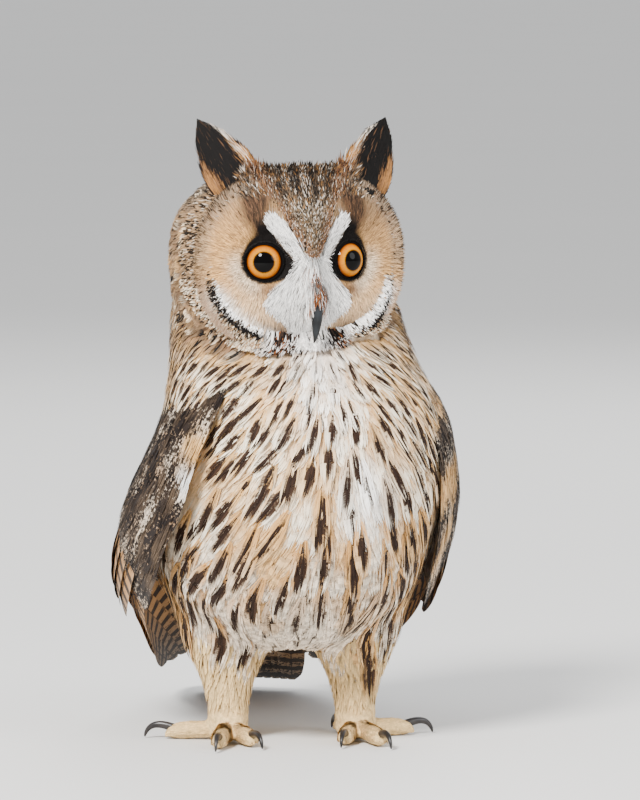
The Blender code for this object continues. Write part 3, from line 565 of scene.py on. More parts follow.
def vane_plan(rows, columns, barbs=0, tips=0, inner=0.62, reach=0.14, outline=WOVEN_OUTLINE, seed=0):
    """A woven part `inner` of the width carries a fringe of barbs that run outward and on by `reach`."""
    draw = np.random.default_rng(seed)
    wide = lambda u: smooth(outline, u)[..., 0]
    end = 1.0 - (reach * 0.9 if tips else 0.0)
    inner = inner if barbs else 1.0
    along, across = np.meshgrid(np.linspace(0, end, rows), np.linspace(-inner, inner, columns), indexing="ij")
    a = (np.arange(rows - 1)[:, None] * columns + np.arange(columns - 1)).ravel()
    halves = ((a, a + 1, a + columns + 1), (a, a + columns + 1, a + columns))
    faces = np.concatenate([np.stack(half, 1) for half in halves])
    parts = [(np.stack([along, across * wide(along)], -1).reshape(-1, 2), faces)]
    for side in (-1.0, 1.0) if barbs else ():
        start = np.linspace(0.04, end * 0.985, barbs)
        after = np.minimum(start + 1.25 * (start[1] - start[0]), end)
        low, high = (np.stack([at, side * inner * 0.93 * wide(at)], 1) for at in (start, after))
        on = np.minimum(start + reach * draw.uniform(0.75, 1.25, barbs), 1.0)
        tip = np.stack([on, side * wide(on) * draw.uniform(0.86, 1.06, barbs)], 1)
        parts.append(spikes(*((low, high) if side < 0 else (high, low)), tip))
    if tips:
        base = np.linspace(-inner, inner, tips + 1) * wide(np.array(end))
        middle = (base[:-1] + base[1:]) / 2
        level = np.full(tips, end * 0.98)
        on = (1 - 0.35 * (middle / inner) ** 2 * reach * 4) * draw.uniform(0.95, 1.02, tips)
        corners = ((level, base[:-1]), (level, base[1:]), (on, middle * 1.15))
        parts.append(spikes(*(np.stack(corner, 1) for corner in corners)))
    starts = np.cumsum([0] + [len(points) for points, _ in parts])
    points = np.concatenate([points for points, _ in parts])
    faces = np.concatenate([faces + start for (_, faces), start in zip(parts, starts)])
    return flat_plan(points), faces


def flat_plan(points):
    """A plan without relief, whose colours are taken at each point's own place."""
    return np.column_stack([points, 0 * points[:, 0], points[:, 1]])


def barb_plan(tiers, count, reach, seed):
    """A loose feather: tiers of `count` barbs, each a sliver of three triangles that starts at its own (u, s)
    and runs on by `reach` of the length, fanning out a little. A barb's colour is taken at its own middle."""
    draw = np.random.default_rng(seed)
    stray = draw.uniform(-0.45, 0.45, (tiers, count)) * (1 - reach) / tiers
    start = np.clip(np.linspace(0.0, 1.0 - reach, tiers)[:, None] + stray, 0, 1 - reach).ravel()
    place = np.arange(count) + 0.5 * draw.random((tiers, 1)) + draw.uniform(0, 0.5, (tiers, count))
    place, n = (place / count * 2 - 1).ravel(), tiers * count
    thick = 1.25 / count * draw.uniform(0.7, 1.15, n)
    run = reach * draw.uniform(0.7, 1.1, n)
    bend = draw.uniform(-0.08, 0.08, n)
    rows = []
    for share, side, thin in ((0, -1, 1), (0, 1, 1), (0.55, -1, 0.8), (0.55, 1, 0.8), (1, 0, 0)):
        u = start + run * share
        s = place * (1 + 0.08 * share) + bend * share + side * thin * thick
        rows.append(np.stack([u, s * smooth(LOOSE_OUTLINE, u)[..., 0]], -1))
    points = np.stack(rows, 1).reshape(-1, 2)
    height = np.repeat(draw.uniform(-0.5, 0.5, n), 5) + np.tile((0, 0, 0.15, 0.15, 0.0), n)
    looks = np.repeat(place + draw.normal(0, 0.16, n), 5)
    faces = np.array([(0, 1, 3), (0, 3, 2), (2, 3, 4)]) + 5 * np.arange(n)[:, None, None]
    return np.column_stack([points, height, looks]), faces.reshape(-1, 3)


TUFT_PLAN = (
    flat_plan(np.array((
        (0, -1), (0, 1), (0.38, -0.95), (0.38, 0.95), (0.75, -0.6), (0.75, 0.6), (1.0, 0.0),
    ))),
    np.array(((0, 1, 3), (0, 3, 2), (2, 3, 5), (2, 5, 4), (4, 5, 6))),
)
UNDER_PLANS = [vane_plan(6, 5, 12, 9, seed=s) for s in range(3)]
SOFT_PLANS = [barb_plan(4, 8, 0.42, seed=30 + s) for s in range(6)]
HEAD_PLANS = [barb_plan(3, 6, 0.5, seed=40 + s) for s in range(5)]
FLIGHT_PLAN = [vane_plan(34, 9, outline=FLIGHT_OUTLINE)]
COVERT_PLANS = [vane_plan(8, 5, 18, 9, 0.74, 0.15, COVERT_OUTLINE, seed=20 + s) for s in range(3)]


# Millimetres that a barb runs on towards the tip for each one that it runs out from the shaft.
BARB_SLANT = 0.9


def spine_lengths(spine):
    return np.linalg.norm(np.diff(spine, axis=1), axis=2).sum(1)


def knot_shares(u, knots):
    """How much each of a spine's knots counts for the places u along it."""
    return smooth(np.hstack([np.linspace(0, 1, knots)[:, None], np.eye(knots)]), np.clip(u, 0, 1))


def coat(
    name, laid, half_width, lift, plans, look, finish, unwrap, replaces=(), cup=55.0, tilt=0.0, strips=False,
    loft=0.0,
):
    """Many feathers as one mesh. laid holds each spine's points, outward normals and ways across; a plan's
    point (u, s, h) goes to spine(u) + across * s * half width + normal * (lift from root to tip - width^2 /
    2 cup + tilt * s * half width + loft * h). look gives tone, ink and marks from (u, q, feather
    numbers)."""
    spine, normal, across = laid
    count, knots = spine.shape[:2]
    half_width = np.broadcast_to(half_width, count)
    lift = np.broadcast_to(lift, (count, 2))
    points, faces, layers, barb, bake, total = [], [], {}, [], [], 0
    lengths = spine_lengths(spine)
    for number, (plan, plan_faces) in enumerate(plans):
        rows = np.arange(number, count, len(plans))
        u, s, h, q = plan.T
        weight = knot_shares(u, knots)
        carry = lambda values: np.einsum("mk,nkc->nmc", weight, values[rows])
        wide = half_width[rows, None] * s
        rise = lift[rows, :1] + (lift[rows, 1:] - lift[rows, :1]) * np.clip(u, 0, 1) ** 0.85
        rise = rise - wide**2 / (2 * cup) + tilt * wide + loft * h
        at = carry(spine) + unit(carry(across)) * wide[..., None] + unit(carry(normal)) * rise[..., None]
        points.append(at.reshape(-1, 3))
        n, m = wide.shape
        faces.append((plan_faces[None] + (total + np.arange(n) * m)[:, None, None]).reshape(-1, 3))
        total += n * m
        for layer, values in look(np.broadcast_to(u, (n, m)), np.broadcast_to(q, (n, m)), rows).items():
            layers.setdefault(layer, []).append(values.reshape(n * m, -1))
        offset = (rows * 7.31 % 97)[:, None]
        along = u * lengths[rows, None] - BARB_SLANT * np.abs(wide) + offset
        barb.append(np.stack([along, np.abs(wide) + offset], -1).reshape(-1, 2))
        if strips:
            level = 0.02 + 0.96 * np.broadcast_to(u, (n, m))
            patch = np.stack([(rows[:, None] + 0.5 + 0.46 * s) / count, level], -1)
        else:
            patch = unwrap[rows][:, None] * 0.98 + 0.01 + 0.0015 * np.stack([s, 2 * u - 1], -1)
        bake.append(patch.reshape(-1, 2))
    layers = {layer: np.concatenate(values) for layer, values in layers.items()}
    maps = {"barb": np.concatenate(barb)}
    points, faces, bake = map(np.concatenate, (points, faces, bake))
    return new_mesh(name, points, faces, finish, replaces, layers, maps, bake)


def turned(ways, normals, angle):
    """Ways swung round their normals by an angle."""
    return ways * np.cos(angle)[..., None] + np.cross(normals, ways) * np.sin(angle)[..., None]


def lie(points, normals):
    """The lie of the coat: down the body, spreading from the throat on the breast; away from the face on the
    head, and down the nape; the part of it that lies in the surface."""
    q = to_head(points)
    x, _, z = parted(points)
    on_head = np.clip((1.22 - head_norm(q)) / 0.16, 0, 1) * ease(z, 158, 176)
    spread = np.clip((x - 13.0) * 0.017, -0.95, 0.85) * ease(-normals[..., 1], -0.2, 0.5) * ease(z, 52, 80)
    down = np.stack([spread + x * 0.003, 0.15 + 0 * x, -1 + 0 * x], -1)
    away = unit(q - np.array((0, -58.0, 20.0)))
    away[..., 2] -= 0.9 * ease(q[..., 1], 8, 40)
    ways = unit(down) * (1 - on_head)[..., None] + unit(away @ _turn.T) * on_head[..., None]
    ways = ways - normals * np.sum(ways * normals, -1, keepdims=True)
    return unit(ways)


def lay(roots, length, knots=5, yaw=0.0):
    """Spines on the plumage surface: each goes on by small steps along the lie, swung by its own yaw."""
    points = settle(roots)
    spine, normal, across = [], [], []
    step = np.broadcast_to(length, len(roots)) / (knots - 1)
    yaw = np.broadcast_to(yaw, len(roots))
    for _ in range(knots):
        out = sample(points)[1]
        way = turned(lie(points, out), out, yaw)
        spine.append(points)
        normal.append(out)
        across.append(np.cross(way, out))
        points = settle(points + way * step[:, None])
    return [np.stack(values, 1) for values in (spine, normal, across)]


def strays(count):
    """How far each root stands from its place in the row."""
    return rng.uniform(-0.3, 0.3, count)


def shades(count, vary, low, high):
    """A shade of its own for each feather."""
    return np.clip(1 + vary * rng.standard_normal(count), low, high)[:, None]


def lifts(count, root, low, high):
    """Lift of each feather's root, the same for all, and of its tip, between low and high."""
    return np.stack([np.full(count, root), rng.uniform(low, high, count)], 1)


MEAN_RADIUS = (BODY_HALF + (BODY_BACK - BODY_FRONT) / 2) / 2
MERIDIAN = np.concatenate([[0], np.cumsum(np.hypot(np.diff(MEAN_RADIUS), np.diff(BODY_Z)))])


def body_roots(spacing, low, high):
    """Staggered rows round the body between two heights. spacing: rows of height, millimetres from row to row
    and from root to root."""
    roots, places = [], []
    at, number = np.interp(low, BODY_Z, MERIDIAN), 0
    while at < np.interp(high, BODY_Z, MERIDIAN):
        climb = np.interp(at, MERIDIAN, CLIMB)
        down, apart = smooth(spacing, np.interp(climb, CLIMB, BODY_Z))
        count = max(int(2 * math.pi * np.interp(climb, CLIMB, MEAN_RADIUS) / apart), 6)
        turn = (np.arange(count) + 0.5 * (number % 2) + strays(count)) / count
        climbs = climb + strays(count) * down / 75.0
        roots.append(body_point(np.clip(climbs, 0.05, 3.1), 2 * math.pi * turn))
        places.append(np.stack([turn % 1, np.full(count, at / MERIDIAN[-1])], 1))
        at, number = at + down, number + 1
    roots, places = np.concatenate(roots), np.concatenate(places)
    keep = sample(roots)[0] > -1.6
    return roots[keep], places[keep]


def patches(points, size, seed):
    """Soft blotches, about -1 to 1 and `size` across: six plane waves in ways of their own."""
    draw = np.random.default_rng(seed)
    ways = unit(draw.normal(size=(6, 3))) * 2 * math.pi / size * draw.uniform(0.7, 1.4, (6, 1))
    return np.sin(points @ ways.T + draw.uniform(0, 6.3, 6)).mean(-1) * 2.2


# Body and neck coat

# All tones are deepened by the same power.
TONE_POWER = 1.28
TONE = {name: linear(code) ** TONE_POWER for name, code in {
    "cream": "#FAF0DD", "white": "#FFFDFA", "buff": "#E0BA84", "deep_buff": "#C99A5C", "streak": "#3A271A",
    "neck": "#B79A7B", "neck_dark": "#5A4534", "mantle": "#8B7460", "mantle_pale": "#C4A98A",
    "mantle_ink": "#241A14", "black": "#15100D", "grey": "#A0968A", "crown": "#5E4C3D", "vent": "#F0E3D2",
    "leg": "#E0C698", "orange": "#B98A4E",
    "disc": "#E2B880", "pale": "#F4E4CC", "top": "#A38A6E", "dark": "#1C1411", "smudge": "#4A392E",
    "hair": "#8A6A50", "slate": "#5C6160",
    "wedge": "#80715F", "wedge_pale": "#DCD2C6", "rufous": "#A06A40",
    "covert": "#B0987E", "covert_pale": "#E6D8C6", "wing_ink": "#2C1E16", "flight": "#94806A",
    "flight_buff": "#C39A6A", "bar": "#33251C",
}.items()}


def blend(name, other, share):
    """A tone of the table, or an array of tones, moved towards another by a share for each point."""
    start = TONE[name] if isinstance(name, str) else name
    end = TONE[other] if isinstance(other, str) else other
    share = np.broadcast_to(share, np.broadcast_shapes(np.shape(share), np.shape(start)[:-1]))
    return mix(np.broadcast_to(start, share.shape + (3,)), end, share)


def painted(tone, *coats):
    """A tone with others laid over it one after another, each a name or an array of tones with its share."""
    for other, share in coats:
        tone = blend(tone, other, share)
    return tone


def body_ground(points, normals):
    """Ground tones by place: cream breast with buff washes, buffier belly, buff-brown neck sides,
    grey-brown back. Gives the root's and the tip's tone, the ink, and how far the place is front, back, low
    and so on."""
    x, _, z = parted(points)
    front, back = ease(-normals[..., 1], -0.25, 0.55), ease(normals[..., 1], 0.15, 0.6)
    low, neck = ease(-z, -120, -70), ease(z, 150, 176)
    side = ease(np.abs(normals[..., 0]), 0.55, 0.95)
    wash = ease(patches(points, 22.0, 3), -0.35, 0.7) * (0.75 + 0.2 * low)
    white = bell(np.hypot((x - 25.0) / 10.0, (z - 108.0) / 13.0), 1.0) * front
    throat = bell(np.hypot(x - 6.0, (z - 160.0) / 1.6), 14.0) * front
    brown = np.clip(neck * (0.35 + side), 0, 0.9) * (0.6 + 0.4 * ease(patches(points, 8.0, 9), -0.5, 0.5))
    tip = painted("cream", ("vent", low * 0.7), ("buff", wash), ("neck", brown))
    tip = blend(tip, "white", np.maximum(white, 0.8 * throat))
    root = blend(blend("buff", "deep_buff", low * 0.7), "neck_dark", neck * 0.45)
    root = blend(root, "white", np.maximum(white, 0.6 * throat))
    tip, root = blend(tip, "mantle_pale", back), blend(root, "mantle", back)
    under = ease(-normals[..., 2], 0.55, 0.9)
    tip, root = blend(tip, "vent", under * (1 - back)), blend(root, "vent", under)
    return {
        "tip": tip, "root": root, "ink": blend("streak", "mantle_ink", back), "front": front, "back": back,
        "low": low, "side": side, "neck": neck, "under": under, "white": np.maximum(white, throat),
    }


def grade(root, tip, u):
    """Tone along a feather, from its root's to its tip's."""
    return mix(root[:, None], tip[:, None], ease(u, 0.15, 0.8))


def barb_grain(share, s, rows):
    """Barbs lighter and darker by this share across the feather."""
    return (1 + share * np.sin(s * 31.0 + rows[:, None]))[..., None]


def marks_of(streak, phase, bars, mottle):
    return np.stack(np.broadcast_arrays(streak, phase, bars, mottle), -1)


def drop_shape(u, start=0.0, full=0.5):
    """Width of a shaft streak along the feather: it swells to `full` and closes to a point at the tip."""
    return ease(u, start, full) * np.sqrt(np.clip((1 - u) / (1 - full), 0, 1))


def shaft_streak(wide, shape, s):
    """How far inside a streak a place is: width times shape, less the way from the shaft; -1 without one."""
    return np.where(wide > 0, wide * shape - np.abs(s), -1.0)


# How much wider the shaft streaks are on the back, and how many more feathers have them there.
BACK_STREAK_WIDTH, BACK_STREAK_ODDS = 0.25, 0.45
# How much lower the coat lies on the foremost part of the breast, so that it stays inside the solids' box.
BREAST_SUNK = 1.4


def body_look(laid, streak_width, streak_odds):
    """Looks of body feathers from the ground under the middle of each."""
    spine, normal, _ = laid
    ground = body_ground(spine[:, 2], normal[:, 2])
    count = len(spine)
    shade = 1 + 0.1 * rng.standard_normal(count)[:, None]
    wide = (streak_width + BACK_STREAK_WIDTH * ground["back"]) * rng.uniform(0.75, 1.2, count)
    wide = wide * (rng.random(count) < streak_odds + BACK_STREAK_ODDS * ground["back"])
    wide = wide * (1 - 0.7 * ground["under"]) * (1 - 0.7 * ground["white"])
    barred = ground["low"] * ground["front"] * 0.35 + ground["back"] * 0.3
    mottled = ground["back"] * 0.34 + ground["neck"] * 0.12 + ground["side"] * 0.1 + ground["low"] * 0.08

    def look(u, s, rows):
        tone = grade((ground["root"] * shade)[rows], (ground["tip"] * shade)[rows], u)
        tone = tone * barb_grain(0.10, s, rows)
        ink = np.broadcast_to(ground["ink"][rows][:, None], tone.shape)
        ink = blend(ink, "hair", 0.15 * ease(np.abs(s), 0.15, 0.5))
        streak = shaft_streak(wide[rows, None], drop_shape(u), s)
        phase = u * 9.0 - np.abs(s) * 0.8
        marks = marks_of(streak, phase, barred[rows, None] * ease(u, 0.3, 0.6), mottled[rows, None])
        return {"tone": tone, "ink": ink, "marks": marks}

    return look


# Height: rows apart, roots apart, length, half width. Under coat, loose coat and streaked feathers.
UNDER_SIZES = (
    (40, 8.5, 8.0, 20, 6.4), (120, 8.5, 8.0, 22, 6.4), (160, 6.0, 5.5, 16, 4.4), (190, 5.0, 4.5, 12, 3.4),
)
LOOSE_SIZES = (
    (40, 6.6, 5.4, 17, 3.8), (120, 6.6, 5.4, 20, 4.0), (160, 4.4, 3.9, 14, 2.8), (190, 4.0, 3.4, 11, 2.3),
)
STREAK_SIZES = (
    (50, 12, 13.5, 30, 3.7), (112, 12, 12.5, 29, 3.7), (138, 9, 8.6, 23, 3.2), (163, 6.4, 6, 16, 2.4),
    (185, 6, 5, 12, 1.9),
)


def dress_body(name, sizes, low, high, level, plans, width, odds, loft=0.0, streaked=False):
    """One layer of the body's coat, as a front and a back piece."""
    roots, places = body_roots([row[:3] for row in sizes], low, high)
    out = sample(roots)[1]
    if streaked:
        pick = out[:, 1] < 0.3
        roots, places, out = roots[pick], places[pick], out[pick]
    length, half = smooth([(row[0], *row[3:]) for row in sizes], roots[:, 2]).T
    count = len(roots)
    length = length * rng.uniform(0.88, 1.15, count)
    foremost = bell(np.hypot(roots[:, 0] - 3.0, roots[:, 2] - 118.0), 40.0) * (out[:, 1] < 0)
    lift = rng.uniform(-0.35, 0.35, (count, 1)) + np.array(level) - BREAST_SUNK * foremost[:, None]
    laid = lay(roots, length, yaw=rng.normal(0, 0.12, count))
    look = body_look(laid, width, odds)
    front = laid[1][:, 0, 1] < 0.12
    for word, pick in (("_front", front), ("_back", ~front)):
        numbers = np.flatnonzero(pick)
        if len(numbers):
            some = lambda u, s, rows, numbers=numbers: look(u, s, numbers[rows])
            part = [values[pick] for values in laid]
            coat(name + word, part, half[pick], lift[pick], plans, some, body_vane, places[pick], loft=loft)


# Head coat


def head_roots(spacing, tilt_from, tilt_to):
    """Rings round the face's axis, from the rim of the disc back to the nape."""
    roots, places = [], []
    for number, tilt in enumerate(np.arange(tilt_from, tilt_to, math.degrees(spacing / 42.0))):
        count = max(int(2 * math.pi * 43.0 * math.sin(math.radians(min(tilt, 174))) / spacing), 5)
        turn = (np.arange(count) + 0.5 * (number % 2) + strays(count)) * 360.0 / count
        tilts = tilt + strays(count) * math.degrees(spacing / 42.0)
        points = head_point(turn, tilts)
        outside = (disc_share(points[:, 0], points[:, 2]) > 1.045) | (points[:, 1] > 0)
        roots.append(from_head(points[outside]))
        places.append(np.stack([turn[outside] / 360.0 % 1, tilts[outside] / 180.0], 1))
    roots, places = np.concatenate(roots), np.concatenate(places)
    keep = sample(roots)[0] > -1.5
    return roots[keep], places[keep]


def head_ground(q):
    """Crown peppered grey-brown with black streaks, sides and nape buff with brown streaks."""
    top = ease(q[..., 2], 14, 30)
    nape = ease(q[..., 1], 5, 30)
    tip = blend(blend("top", "buff", 0.5 * ease(patches(q, 9.0, 5), -0.1, 0.8)), "grey", top * 0.5) * 0.85
    return tip, blend("hair", "crown", np.maximum(top, nape * 0.5)), top, nape


def dress_head(name, spacing, size, level, plans, odds, loft):
    roots, places = head_roots(spacing, 50, 180)
    q = to_head(roots)
    tip, root, top, nape = head_ground(q)
    count = len(roots)
    length = (size[0] - 3.0 * top) * rng.uniform(0.8, 1.25, count)
    laid = lay(roots, length, knots=4, yaw=rng.normal(0, 0.16, count))
    shade = shades(count, 0.26, 0.5, 1.6)
    tip = blend(tip, "pale", 0.55 * (rng.random(count) < 0.22))
    x = q[:, 0]
    middle = bell(x - 4.5, 2.2) + bell(x + 3.0, 2.0) + 0.6 * bell(x - 11.0, 2.2) + 0.6 * bell(x + 10.0, 2.2)
    middle = np.clip(middle, 0, 1) * ease(q[:, 2], 22, 30) * ease(-q[:, 1], -12, 4)
    wide = 0.42 * rng.uniform(0.7, 1.3, count) * (rng.random(count) < odds + 0.2 * top + 0.2 * nape)
    wide = wide + 1.2 * middle
    pepper = 0.10 + 0.36 * top

    def look(u, s, rows):
        tone = grade((root * shade)[rows], (tip * shade)[rows], u)
        tone = tone * barb_grain(0.12, s, rows)
        streak = shaft_streak(wide[rows, None], drop_shape(u, 0.05), s)
        ink = np.broadcast_to(TONE["black"], tone.shape)
        return {"tone": tone, "ink": ink, "marks": marks_of(streak, 0 * u, 0 * u, pepper[rows, None])}

    lift = rng.uniform(-0.3, 0.3, (count, 1)) + np.array(level)
    coat(name, laid, size[1] - 0.5 * top, lift, plans, look, body_vane, places, loft=loft)


# Face

# Places tried for tufts in each part, of which those that lie outside it are left out.
DISC_TUFTS, BROW_TUFTS, BRISTLE_TUFTS, WEDGE_TUFTS, RIM_TUFTS = 26000, 6500, 9000, 17000, 15000
# Black feathers round the lids: side, height, radius.
LID_SHADE = (16.3, 2.2, 10.6)
# White arm of the brow, from the bridge up and outward: side, height, half width.
BROW = ((3.2, -4.0, 2.3), (6.2, 2.6, 2.3), (10.4, 9.0, 3.0), (13.8, 14.6, 3.5), (15.2, 17.0, 3.6))
# Dark line from the lid to the outside of the brow, and the soft dark patch over it, in the same measures.
DARK_DROP = ((20.0, 13.0, 2.2), (15.0, 9.6, 2.6), (10.6, 4.0, 1.4))
SMUDGE = ((20.5, 13.0, 2.0), (22.5, 19.0, 3.6), (21.0, 26.0, 5.0))
# Edge of the white bristles beside the bill: height, side.
BRISTLE_EDGE = (
    (-34.0, 2.0), (-27.0, 7.0), (-21.5, 14.0), (-18.0, 19.0), (-12.0, 17.0), (-5.0, 9.0), (2.0, 6.0),
    (4.0, 4.5),
)
# Ridge of the bill: heights, and the depth and the half width there.
BILL_RIDGE = ((-26, -19.4, -12, -3), (-38.6, -39.6, -37.8, -32.4), (1.9, 2.8, 3.5, 4.2))


def near_line(x, z, line):
    """Distance to a bent line, less its half width there."""
    line = np.array(line, float)
    best = np.full(np.shape(x), 99.0)
    for a, b in zip(line[:-1], line[1:]):
        way = b[:2] - a[:2]
        t = np.clip(((x - a[0]) * way[0] + (z - a[1]) * way[1]) / (way @ way), 0, 1)
        distance = np.hypot(x - a[0] - t * way[0], z - a[1] - t * way[1]) - (a[2] + (b[2] - a[2]) * t)
        best = np.minimum(best, distance)
    return best


def face_zones(x, z):
    """How far a place belongs to each part of the face, all from its side and height."""
    a = np.abs(x)
    eye = np.hypot(a - IRIS_SIDE, z)
    brow = ease(-near_line(a, z, BROW) - 2.2 * ease(z, 13, 19), -0.4, 0.6)
    edge = np.interp(z, *np.array(BRISTLE_EDGE).T)
    bristle = ease(edge - a, -0.8, 1.0) * ease(-z, -3.5, -1.0) * ease(z, -36, -32)
    inner_edge = np.interp(z, (-4, -1.6, 3.6, 10, 20, 26, 34), (0, 1.0, 3.6, 7.4, 11.2, 16.0, 20))
    wedge = ease(inner_edge - a, -0.4, 0.6) * ease(z, -3.0, 0.0)
    lid = ease(LID_SHADE[2] - np.hypot(a - LID_SHADE[0], z - LID_SHADE[1]), -0.5, 0.5)
    drop = np.maximum(ease(-near_line(a, z, DARK_DROP), -0.8, 0.6), lid) * (1 - brow)
    smudge = ease(-near_line(a, z, SMUDGE), -4.0, 1.5)
    return {
        "eye": eye, "brow": brow, "bristle": bristle, "wedge": wedge, "drop": drop, "smudge": smudge,
        "share": disc_share(x, z),
    }


def chin_patch(x, z):
    """Brown mottled patch on each side of the chin, further out on the bird's left, slanting in downward."""
    side = np.abs(x) - np.where(x < 0, 10.5, 17.0) - 0.75 * (z + 28)
    return bell(np.hypot(side / 7.5, (z + 29.5) / 6.0), 1.0)


def face_ground(x, z):
    """Ground tone of the face by place, without the scatter from tuft to tuft."""
    zone = face_zones(x, z)
    a = np.abs(x)
    share = zone["share"] - 0.06 * (x > 0)
    tone = painted(
        "disc",
        ("pale", 0.45 * ease(-z, 6, 22)),
        # The x > 0 term is painted shade on the bird's left half of the face, from below the eye up. The
        # first term is the disc's darker top.
        ("top", np.clip(0.7 * ease(z, 7, 24) + 0.35 * (x > 0) * ease(z, -14, 4), 0, 0.9)),
        ("white", 0.9 * ease(-z, 6, 16) * ease(share, 0.74, 0.88)),
        ("neck", 0.9 * ease(-z, 2, 8) * ease(share, 0.92, 0.97) * ease(a, 18, 24)),
        ("pale", 0.8 * bell(zone["eye"] - 11.0, 3.5) * ease(a, 17, 24) * ease(-z, -8, 3)),
        ("hair", 0.9 * bell(np.hypot((a - np.where(x < 0, 17, 19.5)) / 5.0, (z + 11.8) / 3.0), 1.0)),
        (blend("hair", "smudge", 0.5), 0.95 * chin_patch(x, z)),
        ("smudge", 0.95 * zone["smudge"]),
        ("wedge", zone["wedge"]),
        ("grey", 0.6 * ease(zone["share"], 0.86, 0.97) * ease(z, -10, 2)),
        ("white", np.maximum(zone["bristle"], zone["brow"])),
        ("dark", np.maximum(zone["drop"], ease(-zone["eye"], -9.4, -8.8))),
    )
    return tone, zone


def lay_on_face(x, z, way, length, bend):
    """Spines on the face: steps of the way (an angle from the head's left, upward) with a steady bend."""
    spine, normal = [], []
    knots, near = 4, 0.4
    step = np.broadcast_to(length, x.shape) / (knots - 1)
    for _ in range(knots):
        slope_x = (face_y(x + near, z) - face_y(x - near, z)) / (2 * near)
        slope_z = (face_y(x, z + near) - face_y(x, z - near)) / (2 * near)
        spine.append(np.stack([x, face_y(x, z), z], -1))
        normal.append(unit(np.stack([slope_x, -np.ones_like(x), slope_z], -1)))
        x, z = x + step * np.cos(way), z + step * np.sin(way)
        way = way + bend / (knots - 1)
    spine, normal = np.stack(spine, 1), np.stack(normal, 1)
    across = unit(np.cross(np.gradient(spine, axis=1), normal))
    return [from_head(spine), normal @ _turn.T, across @ _turn.T]


def face_places(count, low, high):
    """Even scatter over a box: a low-discrepancy row of numbers, so that no bald places are left."""
    k = np.arange(count)
    share = np.stack([(0.5 + k * 0.7548776662) % 1, (0.5 + k * 0.5698402910) % 1], 1)
    return (np.array(low) + share * (np.array(high) - np.array(low))).T


def plain_look(root, tip, vary):
    """Tone from root to tip with each tuft's own shade."""
    shade = shades(len(root), vary, 0.45, 1.6)
    return lambda u, s, rows: {"tone": grade((root * shade)[rows], (tip * shade)[rows], u)}


def face_coat(name, side, x, z, way, length, half, lift, root, tip, bend=0.0, vary=0.1):
    """Tufts on one half of the face, given as on its left half and mirrored for the right."""
    way = np.where(side > 0, way, math.pi - way)
    laid = lay_on_face(side * x, z, way, length, side * bend)
    unwrap = np.stack([(side * x + 50) / 100, (z + 45) / 90], 1)
    coat(name, laid, half, lift, [TUFT_PLAN], plain_look(root, tip, vary), face_tuft, unwrap, cup=1e6)


def dress_disc(word, side):
    """Fine stiff tufts that ray out from the eye to the rim, laid like a fan."""
    x, z = face_places(DISC_TUFTS, (-1, -37), (47, 32))
    zone = face_zones(side * x, z)
    hang = 0.09 * ease(-x, -24, -18) * ease(-z, 20, 26)
    keep = (zone["share"] < 1.0 + hang) & (zone["eye"] > 8.0) & (x > 0)
    keep &= (zone["wedge"] < 0.5) & (zone["brow"] < 0.6)
    x, z = x[keep], z[keep]
    count = len(x)
    tone, zone = face_ground(side * x, z)
    way = np.arctan2(z, x - IRIS_SIDE) + rng.normal(0, 0.12, count)
    ahead = np.clip(1.03 - disc_share(x, z), 0.05, 1) * 40
    length = np.minimum(rng.uniform(5.0, 9.0, count) * ease(zone["eye"], 4, 20), ahead + 2.5)
    length = length * (1 - 0.45 * zone["drop"])
    tip, _ = face_ground(side * (x + length * 0.6 * np.cos(way)), z + length * 0.6 * np.sin(way))
    round_eye = 0.10 * bell(zone["eye"] - 13, 5.0) * ease(z, 2, 10)
    hair = rng.random(count) < 0.14 + 0.18 * ease(z, 2, 20) + round_eye
    hair = 0.7 * hair * (1 - zone["bristle"]) * (1 - zone["brow"]) * (1 - zone["drop"])
    on_rim = 0.5 * ease(zone["share"], 0.86, 0.97) * ease(z, -16, -4)
    speck = rng.random(count) < on_rim + 0.08 * ease(z, 8, 20)
    chin = rng.random(count) < 0.5 * chin_patch(side * x, z)
    tip = painted(tip, ("dark", zone["drop"] * 0.4), ("hair", hair), ("dark", 0.96 * speck), ("dark", chin))
    near = ease(-zone["eye"], -11.5, -10.0)
    low, high = rng.uniform(-0.9, -0.5, count), rng.uniform(-0.15, 0.45, count)
    lift = np.stack([low * (1 - near), high + 0.1 * near], 1)
    half = rng.uniform(0.13, 0.25, count)
    face_coat("disc_" + word, side, x, z, way, length, half, lift, tone * 0.5, tip, vary=0.17)


def dress_brow(word, side):
    """White arm of the brow: stiff bristles that point up and outward, with dark lines between them."""
    x, z = face_places(BROW_TUFTS, (0, -8), (24, 22))
    edge = near_line(x, z, BROW) + 0.6 * (side > 0) + 1.8 * ease(z, 13, 20)
    inside = edge < rng.normal(-0.4, 0.45, len(x))
    x, z = x[inside], z[inside]
    count = len(x)
    way = np.arctan2(1.0, 0.60) - 0.025 * (x - np.interp(z, np.array(BROW)[:, 1], np.array(BROW)[:, 0]))
    white = blend("white", "slate", 0.15 * rng.random(count))
    white = blend(white, "smudge", rng.random(count) < 0.10)
    length = clear_of_lids(x, z, way, rng.uniform(3.6, 6.0, count) * (0.5 + 0.5 * ease(18.0 - z, -1, 8)))
    lift = lifts(count, -0.5, 0.1, 0.9)
    half = rng.uniform(0.11, 0.22, count)
    way = way + rng.normal(0, 0.07, count)
    face_coat("brow_" + word, side, x, z, way, length, half, lift, white * 0.35, white, vary=0.12)


def clear_of_lids(x, z, way, length, edge=None):
    """Shortens the tufts whose tips would lie across the black feathers round the lids, or past an edge."""
    stray = 1.0 + 1.4 * rng.standard_normal(len(x))
    for share in (0.85, 0.8, 0.75):
        tip_x, tip_z = x + length * np.cos(way), z + length * np.sin(way)
        over = np.hypot(tip_x - LID_SHADE[0], tip_z - LID_SHADE[1]) < LID_SHADE[2]
        if edge is not None:
            over |= tip_x > np.interp(tip_z, *np.array(edge).T) + stray
        length = np.where(over, length * share, length)
    return length


